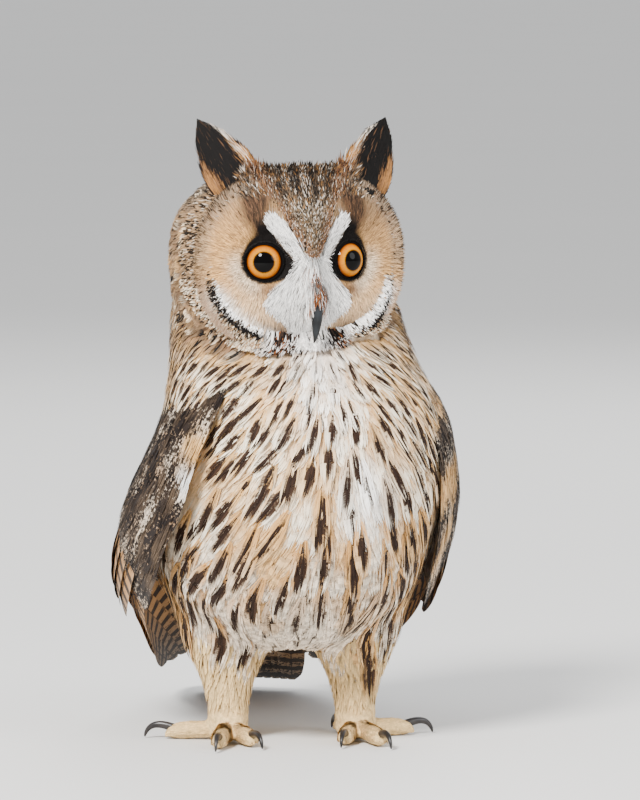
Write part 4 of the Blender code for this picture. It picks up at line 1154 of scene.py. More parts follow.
def bill_height(x, z):
    """How far the bill stands out of the face beside its middle line, as its ridge less a round fall."""
    ridge, wide = (np.interp(z, BILL_RIDGE[0], column) for column in BILL_RIDGE[1:])
    share = np.clip(np.abs(x) / wide, 0, 1)
    height = face_y(x, z) - ridge - wide * 1.25 * (1 - np.sqrt(1 - share**2))
    return np.where(share < 1, np.clip(height, 0, 7), 0.0)


def dress_bristles(word, side):
    """Bristles that sweep from the bridge in a curve under the eye and down over the base of the bill."""
    x, z = face_places(BRISTLE_TUFTS, (0.1, -28), (18, 2.5))
    edge = np.interp(z, *np.array(BRISTLE_EDGE).T)
    bare = x < np.interp(z, (-30, -24, -18, -13.5, -11), (1.4, 2.4, 2.8, 0.8, 0.0))
    ragged = 1.2 * rng.standard_normal(len(x))
    inside = (x < edge - 2.5 + ragged) & (np.hypot(x - IRIS_SIDE, z) > 9.4) & ~bare
    x, z = x[inside], z[inside]
    count = len(x)
    down = ease(-z, -2, 22)
    way = np.arctan2(z - 5.0, x * 1.25 - 0.6) + rng.normal(0, 0.10, count)
    length = rng.uniform(6.0, 11.0, count) * (1 - 0.35 * down)
    ends = z + length * np.sin(way)
    length = length * np.clip((z + 32.5) / np.maximum(z - ends, 0.1), 0.2, 1)
    length = clear_of_lids(x, z, way, length, BRISTLE_EDGE)
    room = z + 15.5 + 1.8 * x + 1.0 * rng.standard_normal(count)
    length = np.where((x < 3) & (z > -17), np.clip(room, 1.5, length), length)
    stand = [bill_height(x, z), bill_height(x + length * np.cos(way), z + length * np.sin(way))]
    draw = rng.random(count)
    white = blend("white", "slate", 0.2 * rng.random(count) + 0.6 * (draw < 0.10))
    tip = blend(white, "smudge", draw > 0.93)
    lift = np.stack([stand[0] + rng.uniform(-0.5, 0.1, count), stand[1] + rng.uniform(0.1, 1.5, count)], 1)
    half = rng.uniform(0.11, 0.22, count)
    seam = bell(x, 1.5) * ease(-z, -2, 2)
    root, tip = blend(white * 0.35, "dark", seam), blend(tip, "rufous", rng.random(count) < 0.8 * seam)
    tip = blend(tip, "dark", rng.random(count) < 0.4 * seam)
    face_coat("bristles_" + word, side, x, z, way, length, half, lift, root, tip, bend=-0.3, vary=0.1)


def dress_wedge():
    """Peppered feathers of the forehead wedge, up to the crown."""
    x, z = face_places(WEDGE_TUFTS, (-25, -3), (25, 37))
    zone = face_zones(x, z)
    keep = (zone["wedge"] > 0.4) | ((z > 24) & (np.abs(x) < 30) & (zone["share"] < 1.08))
    x, z = x[keep], z[keep]
    count = len(x)
    way = math.pi / 2 - 0.022 * x + rng.normal(0, 0.3, count)
    draw = rng.random(count)
    top = ease(z, 20, 28)
    lines = bell(x - 4.5, 1.7) + bell(x + 3.0, 1.7) + 0.7 * bell(x - 11.0, 1.7) + 0.7 * bell(x + 10.0, 1.7)
    tip = painted(
        "wedge",
        ("crown", 0.6 * top),
        ("black", 0.95 * (draw < 0.26 + 0.25 * top)),
        ("wedge_pale", 0.85 * (draw > 0.84 + 0.08 * top)),
        ("orange", 0.5 * ((draw > 0.5) & (draw < 0.56 + 0.06 * top))),
        ("rufous", 0.4 * bell(np.abs(x) - 0.5 * z - 1, 2.4) * (draw > 0.3)),
        ("black", 0.95 * np.clip(lines, 0, 1) * top),
    )
    lift = lifts(count, -0.7, 0.0, 0.6)
    beside = bell(np.abs(x) - 20.5, 4.5) * top * (draw > 0.25)
    length = rng.uniform(1.6, 2.8, count) * (1 + 0.9 * top + 1.6 * beside)
    half = rng.uniform(0.18, 0.36, count)
    face_coat("forehead", 1.0, x, z, way, length, half, lift, tip * 0.6, tip, vary=0.12)


def dress_rim():
    """Short stiff feathers on the rim of the disc: peppered above, a broken black edge on the lower sides,
    and loose pale and dark ones under the chin."""
    number = RIM_TUFTS
    turn = np.linspace(0, 360, number, endpoint=False) + strays(number)
    tilt = np.linspace(30, 85, 221)
    grid = head_point(turn[:, None], tilt[None])
    share = disc_share(grid[..., 0], grid[..., 2])
    spread = rng.uniform(-0.15, 0.095, number)
    at = tilt[np.argmin(np.abs(share - (0.995 + spread)[:, None]), axis=1)]
    q = head_point(turn, at)
    a = np.abs(q[:, 0])
    keep = ~((a < 24) & (q[:, 2] > 20)) & ((spread > -0.055) | (q[:, 2] < rng.normal(-7, 2, number)))
    q, turn, spread, a = q[keep], turn[keep], spread[keep], a[keep]
    count = len(q)
    low, chin = ease(-q[:, 2], 4, 12), ease(-a, -19, -13) * ease(-q[:, 2], 10, 20)
    length = rng.uniform(2.2, 3.6, count) + chin * rng.uniform(0.5, 5.5, count)
    laid = lay(from_head(q), length, knots=3, yaw=rng.normal(0, 0.2, count))
    draw = rng.random(count)
    line = spread + 0.012 * rng.standard_normal(count) - 0.055 * (q[:, 0] > 0)
    inside = ease(-line, 0.118, 0.126)
    black = ease(-line, 0.052, 0.060) + bell(q[:, 2] + 14.5, 6.0) * ease(-line, 0.02, 0.03)
    black = (1 - inside) * black
    side_chin = chin * bell(a - np.where(q[:, 0] < 0, 9.0, 13.5), 6.0)
    tone = painted(
        "top",
        ("dark", 0.95 * (draw < 0.36)),
        ("wedge_pale", 0.5 * (draw > 0.84)),
        (blend("neck", "cream", 0.6 * (draw > 0.6)), low * (draw > 0.22)),
        ("white", low * inside * (draw > 0.25)),
        ("dark", np.clip(low * (1 - chin) * black, 0, 1) * (draw > 0.14)),
        (blend("white", "hair", 0.4 * draw), chin),
        ("smudge", draw < 0.85 * side_chin),
        ("dark", draw < 0.45 * side_chin),
        ("rufous", (draw > 0.45) & (draw < 0.65 * side_chin)),
    )
    lift = lifts(count, -0.6, 0.1, 0.9)
    unwrap = np.stack([turn / 360, np.full(count, 0.3)], 1)
    half = rng.uniform(0.25, 0.5, count)
    look = plain_look(tone * 0.8, tone, 0.18)
    coat("disc_rim", laid, half, lift, [TUFT_PLAN], look, face_tuft, unwrap, cup=1e6)


# Ear tufts

EAR_STRANDS = 2400
TUFT_OUTLINE = ((0.0, 0.95), (0.25, 1.12), (0.5, 0.98), (0.75, 0.66), (0.92, 0.38), (1.0, 0.12))


def tuft_axes(word):
    side, lean = SIDES[word], unit(np.array(TUFT_LEAN[word]))
    facing = np.array((math.sin(TUFT_FACING[word]), -math.cos(TUFT_FACING[word]), 0.0))
    inward = unit(np.cross(facing, lean)) * side
    return lean, inward, unit(np.cross(lean, inward)) * side, np.array(TUFT_BASE[word]) - lean * TUFT_SUNK


def tuft_colour(across, along):
    """Black-brown leaf, buff outer base, speckled pale inner edge."""
    outer_edge = np.interp(along, (0.15, 0.33, 0.5, 0.6), (-0.55, -0.82, -1.0, -1.3))
    inner_edge = np.interp(along, (0.15, 0.33, 0.6, 0.85, 1), (0.62, 0.76, 0.82, 0.62, 0.2))
    outer, inner = (ease(way, -0.08, 0.08) for way in (outer_edge - across, across - inner_edge))
    speckle = rng.random(len(across))
    buff = 0.85 * ease(-along, -0.6, -0.35) * (speckle < 0.75)
    edge = painted("wedge_pale", ("black", speckle < 0.5), ("orange", buff))
    base = blend("orange", "hair", 0.3 + 0.7 * speckle)
    return painted("black", ("hair", 0.5 * (speckle > 0.96)), (base, outer), (edge, inner))


def dress_tuft(word):
    """Long strands on both faces of a leaf-shaped sheet that leans out and back, over broad dark vanes."""
    lean, inward, forward, base = tuft_axes(word)

    def leaf(across, along, level):
        middle = TUFT_HALF_WIDTH * across * smooth(TUFT_OUTLINE, along)[..., 0]
        depth = level - 0.022 * middle**2
        ways = ((lean, TUFT_LENGTH * along), (inward, middle), (forward, depth))
        return base + sum(way * far[..., None] for way, far in ways)

    def grow(name, across, along, reach, half, level, face, lift, colour, plans, replaces=()):
        t = np.linspace(0, 1, 5)
        stray = rng.normal(0, 0.10, len(across))
        at = np.minimum(along[:, None] + reach[:, None] * t, 1.0)
        place = across[:, None] * (1 + 0.08 * t) + stray[:, None] * t
        spine = leaf(place, at, np.full(at.shape, level))
        ways = (np.broadcast_to(way @ _turn.T * face, spine.shape) for way in (forward, inward))
        laid = [from_head(spine), *ways]
        look = plain_look(colour * 0.6, colour, 0.25)
        unwrap = np.stack([0.5 + 0.45 * across, 0.05 + 0.8 * along], 1)
        coat(name, laid, half, lift, plans, look, face_tuft, unwrap, replaces, cup=1e6, loft=0.5)

    share = np.linspace(-0.9, 0.9, 16)
    reach = 0.82 - 0.30 * np.abs(share) ** 1.7
    core = blend("black", "smudge", 0.3 * np.abs(share))
    name, start = "ear_tuft_core_" + word, 0 * share + 0.12
    grow(name, share, start, reach, 2.0, 0.0, 1.0, (-0.3, 0.0), core, UNDER_PLANS, ("ear_tuft_" + word,))
    for face, name in ((1.0, "front"), (-1.0, "back")):
        across, along = face_places(EAR_STRANDS, (-1, 0.0), (1, 0.86))
        across = across + rng.normal(0, 0.03, len(across))
        along = np.maximum(along, 0.13 + 0.17 * ease(across, 0, 0.9) + 0.10 * ease(-across, 0.3, 1))
        colour = tuft_colour(across, along)
        if face < 0:
            colour = blend(colour, "crown", 0.6)
        reach = rng.uniform(0.18, 0.34, len(across)) * (1 - 0.35 * along)
        reach = np.minimum(reach, 1.0 - 0.22 * across**2 - along)
        limits = ((0.13, 0.28), (-0.1, 0.1), (0.1, 0.7))
        half, *lift = (rng.uniform(low, high, len(across)) for low, high in limits)
        name = "ear_tuft_%s_%s" % (name, word)
        grow(name, across, along, reach, half, 0.45 * face, face, np.stack(lift, 1), colour, [TUFT_PLAN])


# Wings

# Small loose feathers laid over the coverts.
WING_LOOSE_FEATHERS = 700
# Share of the wing's length under the pad of flesh.
PAD_REACH = 0.53
# Width of one bar of a flight feather.
BAR_MM = 4.9


def across_of(spine, across):
    """The ways across, less what lies along the spine."""
    along = np.gradient(spine, axis=1)
    return unit(across - along * (np.sum(across * along, -1) / np.sum(along * along, -1))[..., None])


def drooped(points, length, word):
    """A wing's points, moved outward by its droop from the shoulder on and set on the bird's own side."""
    points[..., 0] += WING_DROOP[word] * np.clip(length / 0.5, 0, 1.3)
    return points * (SIDES[word], 1, 1)


def lay_on_wing(word, roots, tips, knots=6):
    """Spines on a wing, each from its root to its tip, both as (length, chord)."""
    t = np.linspace(0, 1, knots)
    places = roots[:, None] + (tips - roots)[:, None] * t[None, :, None]
    length, chord = places[..., 0], places[..., 1]
    spine = wing_surface(length, chord, word)
    normal, across = wing_axes(length, chord, word)
    flip = np.array((SIDES[word], 1, 1))
    spine = drooped(spine, length, word)
    return [spine, normal * flip, across_of(spine * flip, across) * flip]


def roots_of(tips, reach, lean=0.94):
    """Roots of feathers that reach this share of the wing, a little nearer its leading edge than the tips."""
    return np.stack([np.maximum(tips[:, 0] - reach, 0.0), tips[:, 1] * lean + (1 - lean) / 3], 1)


def joined(rows):
    """Rows of arrays, joined column by column."""
    return [np.concatenate(values) for values in zip(*rows)]


def row_tips(count, first, last):
    tips = np.linspace(first, last, count)
    tips[:, 0] += rng.uniform(-0.006, 0.006, count)
    return tips


def spot_map(tips):
    return tips[:, ::-1] * 0.9 + 0.05


# Row: count, tip (length, chord) of the first and the last, reach along the wing, half width, lift root, tip.
COVERT_ROWS = tuple(
    (14, (0.06 + 0.037 * k, 0.03), (0.05 + 0.036 * k, 0.97), 0.085, 5.4, -2.6, -0.5 + 0.1 * k)
    for k in range(7)
) + (
    (12, (0.325, 0.05), (0.305, 0.96), 0.11, 6.4, -2.0, 0.3),
    (10, (0.42, 0.12), (0.39, 0.96), 0.16, 7.6, -1.4, 0.9),
    (5, (0.50, 0.01), (0.46, 0.15), 0.16, 5.0, -1.2, 0.6),
    (3, (0.42, 0.0), (0.35, 0.08), 0.15, 4.0, -0.8, 1.4),
)
SCAPULAR_ROWS = (
    (5, (0.10, 0.93), (0.30, 0.90), 0.12, 7.0, -0.8, 1.6),
    (6, (0.14, 1.00), (0.46, 0.97), 0.15, 7.4, -0.6, 2.5),
)
# Flight feathers in the same measures: the inner ones, and those nearest the back.
FLIGHT_ROWS = (
    (10, (0.60, 0.13), (0.69, 0.86), 0.27, 7.0, -1.0, 2.6),
    (4, (0.65, 0.90), (0.54, 1.00), 0.25, 7.4, 0.2, 3.6),
)


def wing_ground(points, word):
    """Tone, ink and how much of the wing the peppering covers, all by place: pale and buff blotches in a
    dark-peppered ground, with a buff and a white patch on the front of the right wing."""
    x, y, z = parted(points)
    cloud, streaky = patches(points, 16.0, 21), patches(points * (1.0, 1.0, 0.35), 5.0, 22)
    tone = blend("covert_pale", "covert", ease(cloud, -0.6, 0.6))
    tone = blend(tone, "flight_buff", 0.5 * ease(patches(points, 12.0, 23), 0.25, 0.9))
    cover = 0.70 + 0.16 * streaky + 0.12 * cloud
    if word == "right":
        ahead = ease(-y, 20, 30)
        oval = ease(-np.hypot((x + 47.0 + 0.35 * (z - 110)) / 5.2, (z - 110.0) / 9.5), -1.15, -0.8) * ahead
        buff = ease(-np.hypot((x + 45.0) / 7.0, (z - 128.0) / 7.5), -1.2, -0.7) * ahead
    else:
        oval = 0.0
        buff = ease(patches(points * (1.0, 1.0, 0.6), 15.0, 25), 0.25, 0.55) * ease(-y, -12, 8)
    tone = blend(blend(tone, "buff", buff), "white", oval)
    ink = blend("wing_ink", "covert", 0.25 * ease(streaky, 0, 1))
    return tone, ink, cover * (1 - oval) * (1 - 0.75 * buff)


def covert_coat(name, word, laid, half, lift, plans, unwrap, streaks, loft=0.0):
    """Wing feathers whose colours come from their place on the wing, with a dark shaft on some of them."""
    spine = laid[0]
    tone, ink, cover = wing_ground(spine, word)
    count = len(spine)
    shade = shades(count, 0.13, 0.6, 1.4)
    streaked, size = rng.random(count) < streaks, rng.uniform(0.6, 1.3, count)
    wide = np.where(streaked, (0.28 + 0.14 * (word == "left")) * size, -1.0)

    def look(u, s, rows):
        weight = knot_shares(u[0], spine.shape[1])
        carry = lambda values: np.einsum("mk,nk...->nm...", weight, values[rows])
        dim = 1 - 0.22 * ease(u, 0.72, 0.2) - 0.10 * ease(np.abs(s), 0.6, 1.0)
        streak = shaft_streak(wide[rows, None], drop_shape(u, full=0.55), s)
        return {
            "tone": carry(tone) * (shade[rows][:, None] * dim[..., None]), "ink": carry(ink),
            "marks": marks_of(streak, 0 * u, 0 * u, carry(cover)),
        }

    coat(name, laid, half, lift, plans, look, wing_vane, unwrap, cup=200.0, tilt=-0.05, loft=loft)


def dress_wing(word):
    rows = []
    for count, first, last, reach, half, low, high in COVERT_ROWS + SCAPULAR_ROWS:
        tips = row_tips(count, first, last)
        laid = lay_on_wing(word, roots_of(tips, reach * rng.uniform(0.92, 1.08, count)), tips)
        lift = np.stack([np.full(count, low), high + rng.uniform(-0.15, 0.15, count)], 1)
        rows.append((*laid, np.full(count, half), lift, tips))
    *laid, half, lift, tips = joined(rows)
    covert_coat("wing_coverts_" + word, word, laid, half, lift, COVERT_PLANS, spot_map(tips), 0.45)

    chord, length = face_places(WING_LOOSE_FEATHERS, (0.0, 0.035), (1.0, 0.43))
    length = length + rng.normal(0, 0.006, len(length))
    tips = np.stack([length, chord], 1)
    reach = rng.uniform(0.05, 0.085, len(tips)) * (1 + 0.6 * ease(length, 0.2, 0.4))
    laid = lay_on_wing(word, roots_of(tips, reach, 0.97), tips, knots=4)
    high = np.interp(length, (0.0, 0.3, 0.43), (-0.2, 0.5, 1.2)) + rng.uniform(-0.2, 0.3, len(tips))
    lift = np.stack([high - 1.3, high], 1)
    half = rng.uniform(2.2, 3.2, len(tips))
    covert_coat("wing_loose_coat_" + word, word, laid, half, lift, HEAD_PLANS, spot_map(tips), 0.35, 0.5)

    tips = np.array(PRIMARY_TIPS)
    roots = np.stack([0 * tips[:, 0] + 0.45, 0.04 + 0.32 * tips[:, 1]], 1)
    rank = 0.45 * (np.arange(len(tips)) - 4.0)
    lift = np.stack([rank - 0.6, rank - 0.3], 1)
    rows = [(*lay_on_wing(word, roots, tips, knots=8), np.full(len(tips), 6.4), lift, tips)]
    for count, first, last, reach, half, low, high in FLIGHT_ROWS:
        tips = row_tips(count, first, last)
        laid = lay_on_wing(word, roots_of(tips, reach), tips, knots=8)
        rows.append((*laid, np.full(count, half), np.tile((low, high), (count, 1)), tips))
    *laid, half, lift, tips = joined(rows)
    pepper = 0.16 * ease(tips[:, 1], 0.8, 0.95)
    flight_coat("wing_feathers_" + word, laid, half, lift, pepper, ("wing_" + word,), 120.0, -0.13)


def flight_coat(name, laid, half, lift, pepper, replaces, cup, tilt):
    """Stiff barred feathers: buff bands alternate with dark ones, greyer and more peppered to the tip, with a
    pale edge and a dark shaft."""
    count = len(laid[0])
    lengths = spine_lengths(laid[0])
    shade = 1 + 0.09 * rng.standard_normal(count)[:, None]
    start = rng.uniform(-0.22, 0.22, count)

    def look(u, s, rows):
        tone = mix((TONE["flight_buff"] * shade[rows])[:, None], TONE["flight"], ease(u, 0.5, 0.95))
        tone = blend(tone, "covert_pale", 0.2 * ease(-s, 0.45, 0.95))
        phase = (1 - u) * lengths[rows, None] / BAR_MM - 0.45 * np.abs(s) + start[rows, None]
        cover = 0.16 + 0.26 * ease(u, 0.5, 1.0) + pepper[rows, None]
        shaft, bars = (0.055 - np.abs(s)) * 3.0, 0.95 - 0.3 * ease(np.abs(s), 0.8, 1.0)
        ink = np.broadcast_to(TONE["bar"], tone.shape)
        return {"tone": tone, "ink": ink, "marks": marks_of(shaft, phase, bars, cover)}

    coat(name, laid, half, lift, FLIGHT_PLAN, look, wing_vane, None, replaces, cup, tilt, strips=True)


def wrap_grid(rows, columns):
    """Quads of a grid whose columns run round and meet again."""
    a = np.arange(rows - 1)[:, None] * columns + np.arange(columns)
    b = np.arange(rows - 1)[:, None] * columns + (np.arange(columns) + 1) % columns
    return np.stack([a, b, b + columns, a + columns], -1).reshape(-1, 4)


def wing_pad(word):
    """Flesh and feather bases of the wing: a thin closed slab under the coverts, as an oval carried across
    the chord at each share of its length."""
    lengths = np.linspace(0.0, PAD_REACH, 26)
    turn = np.linspace(0, 2 * math.pi, 48, endpoint=False)
    taper = np.sqrt(np.clip(1 - (2 * lengths / PAD_REACH - 1) ** 16, 0.0001, 1))
    chord = 0.5 - 0.46 * np.cos(turn)[None] * taper[:, None]
    length = np.broadcast_to(lengths[:, None], chord.shape)
    lift = -2.4 + 1.0 * np.sin(turn)[None] * taper[:, None]
    normal = wing_axes(length, chord, word)[0]
    points = wing_surface(length, chord, word) + normal * lift[..., None]
    verts, tris = closed_surface(drooped(points, length, word))
    if SIDES[word] > 0:
        tris = tris[:, ::-1]
    new_mesh("wing_pad_" + word, verts, tris, skin_down, (), {"tone": wing_ground(verts, word)[0] * 0.4})


# Tail


def tail_axes(length, share, level, face=1.0):
    """Spine, normal and way across on the tail, or on its underside where face is -1."""
    spine = tail_point(length, share, level)
    across = unit(tail_point(length, share + 0.02, level) - tail_point(length, share - 0.02, level)) * face
    return [spine, unit(np.cross(across, unit(np.gradient(spine, axis=1)))), across]


def dress_tail():
    t = np.linspace(0, 1, 8)
    numbers = np.arange(12) - 5.5
    outward = np.abs(numbers) - 0.5
    length = 0.16 + (1.0 - 0.012 * outward[:, None] - 0.16) * t
    share = 0.84 * numbers[:, None] / 6 * (0.55 + 0.45 * t)
    laid = tail_axes(length, share, 0.8 * (2.4 - outward)[:, None] * t)
    flight_coat("tail_feathers", laid, 6.4, (0.0, 0.0), np.full(12, 0.1), ("tail",), 60.0, 0.0)
    count = 44
    row = np.arange(count) % 4
    for name, face, tip, root in (
        ("tail_coverts_over", 1.0, "covert_pale", "covert"), ("tail_coverts_under", -1.0, "cream", "buff"),
    ):
        share = (np.arange(count) // 4 / (count / 4 - 1) * 2 - 1) * 0.8
        start = 0.02 + 0.075 * row + rng.uniform(-0.01, 0.01, count)
        length = start[:, None] + 0.17 * np.linspace(0, 1, 5)
        laid = tail_axes(length, share[:, None] + 0 * length, 1.5 * face + 0 * length, face)
        above = max(face, 0.0)

        def cover_look(u, s, rows, tip=tip, root=root, above=above):
            tone = blend(root, tip, ease(u, 0.3, 0.8))
            streak = (0.1 + 0.1 * above) * drop_shape(u) - np.abs(s)
            ink = np.broadcast_to(TONE["wing_ink"], tone.shape)
            return {"tone": tone, "ink": ink, "marks": marks_of(streak, u * 4, 0.5 * above, 0.5 * above)}

        lift = np.stack([-1.5 + 0 * start, 1.6 + 0.2 * row], 1)
        unwrap = np.stack([0.5 + 0.45 * share, start], 1)
        coat(name, laid, 7.5, lift, COVERT_PLANS, cover_look, body_vane, unwrap)


# Skin, legs and toes

UP = np.array((0, 0, 1.0))
VOXEL_MM = 1.9
# How deep the skin lies under the plumage surface.
SKIN_DEPTH = {"body": 4.6, "head": 2.6, "face": 1.2, "leg": 1.8}
LEG_TUFTS, TOE_TUFTS = 900, 520


def closed_surface(points):
    """Points of a grid that runs round in columns, with both ends closed to their middle; its faces too."""
    rows, columns = points.shape[:2]
    ends = np.stack([points[0].mean(0), points[-1].mean(0)])
    quads = wrap_grid(rows, columns)
    k = np.arange(columns)
    first = rows * columns
    caps = np.stack([(k + 1) % columns, k, np.full(columns, first)], 1)
    end = (rows - 1) * columns
    last = np.stack([k + end, (k + 1) % columns + end, np.full(columns, first + 1)], 1)
    tris = np.concatenate([quads[:, (0, 1, 2)], quads[:, (0, 2, 3)], caps, last])
    return np.concatenate([points.reshape(-1, 3), ends]), tris


def swept(path, radius, columns=16, flatten=1.0, up=(0, 0, 1)):
    """A tube along a path: circles in the plane square to it, flattened sideways."""
    along = unit(np.gradient(path, axis=0))
    side = unit(np.cross(along, np.broadcast_to(np.array(up, float), along.shape)))
    over = np.cross(side, along)
    turn = np.linspace(0, 2 * math.pi, columns, endpoint=False)
    ring = np.cos(turn)[None, :, None] * side[:, None] * flatten + np.sin(turn)[None, :, None] * over[:, None]
    return path[:, None] + ring * np.asarray(radius)[:, None, None]


def toe_start(word, side):
    """Where a toe starts on the floor, and its way."""
    turn = math.radians(TOES[word][0]) * side
    return np.array((FOOT_SIDE * side, FOOT_BACK, 0.0)), np.array((math.sin(turn), -math.cos(turn), 0.0))


def toe_path(word, side, count=14):
    """Middle line and radius of a toe, knuckled up and then down to the floor."""
    _, length, radius = TOES[word]
    start, ahead = toe_start(word, side)
    thick = radius * np.array((1.15, 1.02, 0.95, 0.7, 0.3))
    rise = thick * 0.86 + np.array((1.0, 0.6, 0.0, 0.1, 0.5))
    table = np.stack([np.array((0.0, 0.4, 0.8, 0.94, 1.0)), rise, thick], 1)
    at = np.linspace(0, 1, count)
    rise, thick = smooth(table, at).T
    return start + ahead * (at * length)[:, None] + UP * rise[:, None], thick


def claw_path(word, side):
    """A claw from the toe's end, arching over and down so that its point just clears the floor."""
    _, length, radius = TOES[word]
    start, ahead = toe_start(word, side)
    t = np.linspace(0, 1, 18)
    forward = length - 4.0 + CLAW_LENGTH * np.sin(t * 1.45) * 0.92
    height = radius * 1.15 + 2.2 * np.sin(t * math.pi) - (radius * 1.15 - 0.75) * t**2
    return start + ahead * forward[:, None] + UP * height[:, None], CLAW_RADIUS * np.sqrt(1.0 - t * 0.97)


def skin_ground(points, normals):
    """The skin carries the coat's ground tones."""
    ground = body_ground(points, normals)
    tone = ground["root"] * 0.5 + ground["tip"] * 0.5
    q = to_head(points)
    on_head = ease(-head_norm(q), -1.12, -1.0)
    tip, root, _, _ = head_ground(q)
    tone = mix(tone, (tip + root) * 0.5, on_head)
    on_face = on_head * ease(-q[..., 1], 4, 10) * ease(-disc_share(q[..., 0], q[..., 2]), -1.02, -0.98)
    tone = mix(tone, face_ground(q[..., 0], q[..., 2])[0], on_face)
    return mix(tone, TONE["leg"], ease(-points[..., 2], -48, -38))


def make_skin():
    """One closed skin under the coat: body, head, legs and toes merged on a fine grid, then moved to lie the
    coat's depth under the plumage surface."""
    turn = np.linspace(0, 2 * math.pi, 90, endpoint=False)
    climb, tilt = np.linspace(0.04, math.pi - 0.04, 60)[:, None], np.linspace(1, 179, 60)[:, None]
    body = body_point(climb + 0 * turn, turn + 0 * climb)
    pieces = [closed_surface(body), closed_surface(from_head(head_point(np.degrees(turn), tilt)))]
    for side in SIDES.values():
        leg = np.array([(FOOT_SIDE * side, y, z) for z, y, _ in LEG_SECTIONS], float)
        pieces.append(closed_surface(swept(leg, np.array([r for _, _, r in LEG_SECTIONS]), 24, up=(0, 1, 0))))
        pad = np.array([(FOOT_SIDE * side, FOOT_BACK, z) for z in np.linspace(0.4, 9.6, 8)])
        radius = 8.6 * np.sqrt(1 - np.linspace(-0.75, 0.6, 8) ** 2)
        pieces.append(closed_surface(swept(pad, radius, 24, up=(0, 1, 0))))
        for toe in TOES:
            path, radius = toe_path(toe, side)
            pieces.append(closed_surface(swept(path, radius - 0.7)))
    points, faces, total = [], [], 0
    for part, tris in pieces:
        points.append(part)
        faces.append(tris + total)
        total += len(part)
    blank = bpy.data.meshes.new("skin_blank")
    blank.from_pydata(np.concatenate(points).tolist(), [], np.concatenate(faces).tolist())
    shell = add_object("skin_blank", blank)
    remesh = shell.modifiers.new("merge", "REMESH")
    remesh.mode = "VOXEL"
    remesh.voxel_size = VOXEL_MM
    bpy.context.view_layer.update()
    merged = bpy.data.meshes.new_from_object(shell.evaluated_get(bpy.context.evaluated_depsgraph_get()))
    bpy.data.objects.remove(shell)
    merged.calc_loop_triangles()
    co = np.empty(len(merged.vertices) * 3)
    merged.vertices.foreach_get("co", co)
    co = co.reshape(-1, 3)
    tris = np.empty(len(merged.loop_triangles) * 3, np.int32)
    merged.loop_triangles.foreach_get("vertices", tris)
    bpy.data.meshes.remove(merged)
    q = to_head(co)
    on_head = ease(-head_norm(q), -1.2, -1.02)
    on_face = on_head * ease(-q[:, 1], 6, 14)
    on_leg = ease(-co[:, 2], -55, -40)
    depth = SKIN_DEPTH["body"]
    for part, share in (("head", on_head), ("face", on_face), ("leg", on_leg)):
        depth = depth + (SKIN_DEPTH[part] - depth) * share
    feet = ease(co[:, 2], 11, 15)[:, None]
    co = settle(co, -depth) * feet + co * (1 - feet)
    sole = co[:, 2].min()
    co[:, 2] = np.where(co[:, 2] < 2.0, (co[:, 2] - sole) * 2.0 / (2.0 - sole), co[:, 2])
    out = sample(co)[1]
    flesh = ("head", "neck", "torso", "leg_left", "leg_right", "foot_left", "foot_right")
    new_mesh("skin", co, tris.reshape(-1, 3), skin_down, flesh, {"tone": skin_ground(co, out)})


def dress_legs():
    """Short buff plumage down to the claws: tufts lie down the shank and forward along each toe."""
    parts, places = [], []
    for side in SIDES.values():
        z, turn = face_places(LEG_TUFTS, (9.0, 0.0), (45.0, 2 * math.pi))
        table = np.array(LEG_SECTIONS, float)
        y, r = (np.interp(z, table[:, 0], table[:, k]) for k in (1, 2))
        roots = np.stack([FOOT_SIDE * side + r * np.cos(turn), y + r * np.sin(turn), z], 1)
        roots = roots[sample(roots)[0] > -1.5]
        laid = lay(roots, rng.uniform(5.0, 8.0, len(roots)), knots=4, yaw=rng.normal(0, 0.2, len(roots)))
        parts.append(laid)
        places.append(np.stack([0.25 + 0.2 * side + 0 * roots[:, 0], roots[:, 2] / 60], 1))
        for number, toe in enumerate(TOES):
            path, radius = toe_path(toe, side, 40)
            at, turn = face_places(TOE_TUFTS, (0.05, -0.35), (0.86, math.pi + 0.35))
            place = np.minimum(at[:, None] + np.linspace(0, 5.0, 4) / TOES[toe][1], 1.0)
            *middle, r = (np.interp(place, np.linspace(0, 1, 40), values) for values in (*path.T, radius))
            middle = np.stack(middle, -1)
            ahead = unit(path[-1] - path[0]) * (1, 1, 0)
            sideways = np.cross(ahead, UP)
            out = np.cos(turn)[:, None] * sideways + np.sin(turn)[:, None] * UP
            spine = middle + out[:, None] * r[..., None]
            normal = np.broadcast_to(out[:, None], spine.shape)
            across = np.broadcast_to(np.cross(ahead, out)[:, None], spine.shape)
            parts.append([spine, normal, across])
            places.append(np.stack([0.55 + 0.05 * number + 0.2 * (side > 0) + 0 * at, at], 1))
    laid, places = joined(parts), np.concatenate(places)
    count = len(places)
    laid[0][..., 2] = np.maximum(laid[0][..., 2], 0.3)
    shade = shades(count, 0.1, 0.6, 1.4)

    def look(u, s, rows):
        return {"tone": grade((TONE["leg"] * 0.8 * shade)[rows], (TONE["leg"] * 1.05 * shade)[rows], u)}

    lift = lifts(count, -1.0, -0.3, 0.3)
    coat("leg_coat", laid, rng.uniform(0.5, 0.9, count), lift, [TUFT_PLAN], look, face_tuft, places, cup=1e6)


# Eyes, lids, bill and claws

# Degrees from the eye's axis: edge of the cornea, edge of the lids' opening, how far each lid closes it.
CORNEA_EDGE, LID_OPENING, UPPER_LID, LOWER_LID = 44.0, 41.6, 3.6, 0.8
# Section of the lid: degrees past the edge of its opening, distance from the eye's centre.
LID_PROFILE = (
    (0, 11.1), (-0.4, 11.3), (0, 11.6), (1.2, 11.85), (3.5, 11.95), (9, 11.9), (14, 11.5), (16, 10.95),
    (8, 10.95),
)
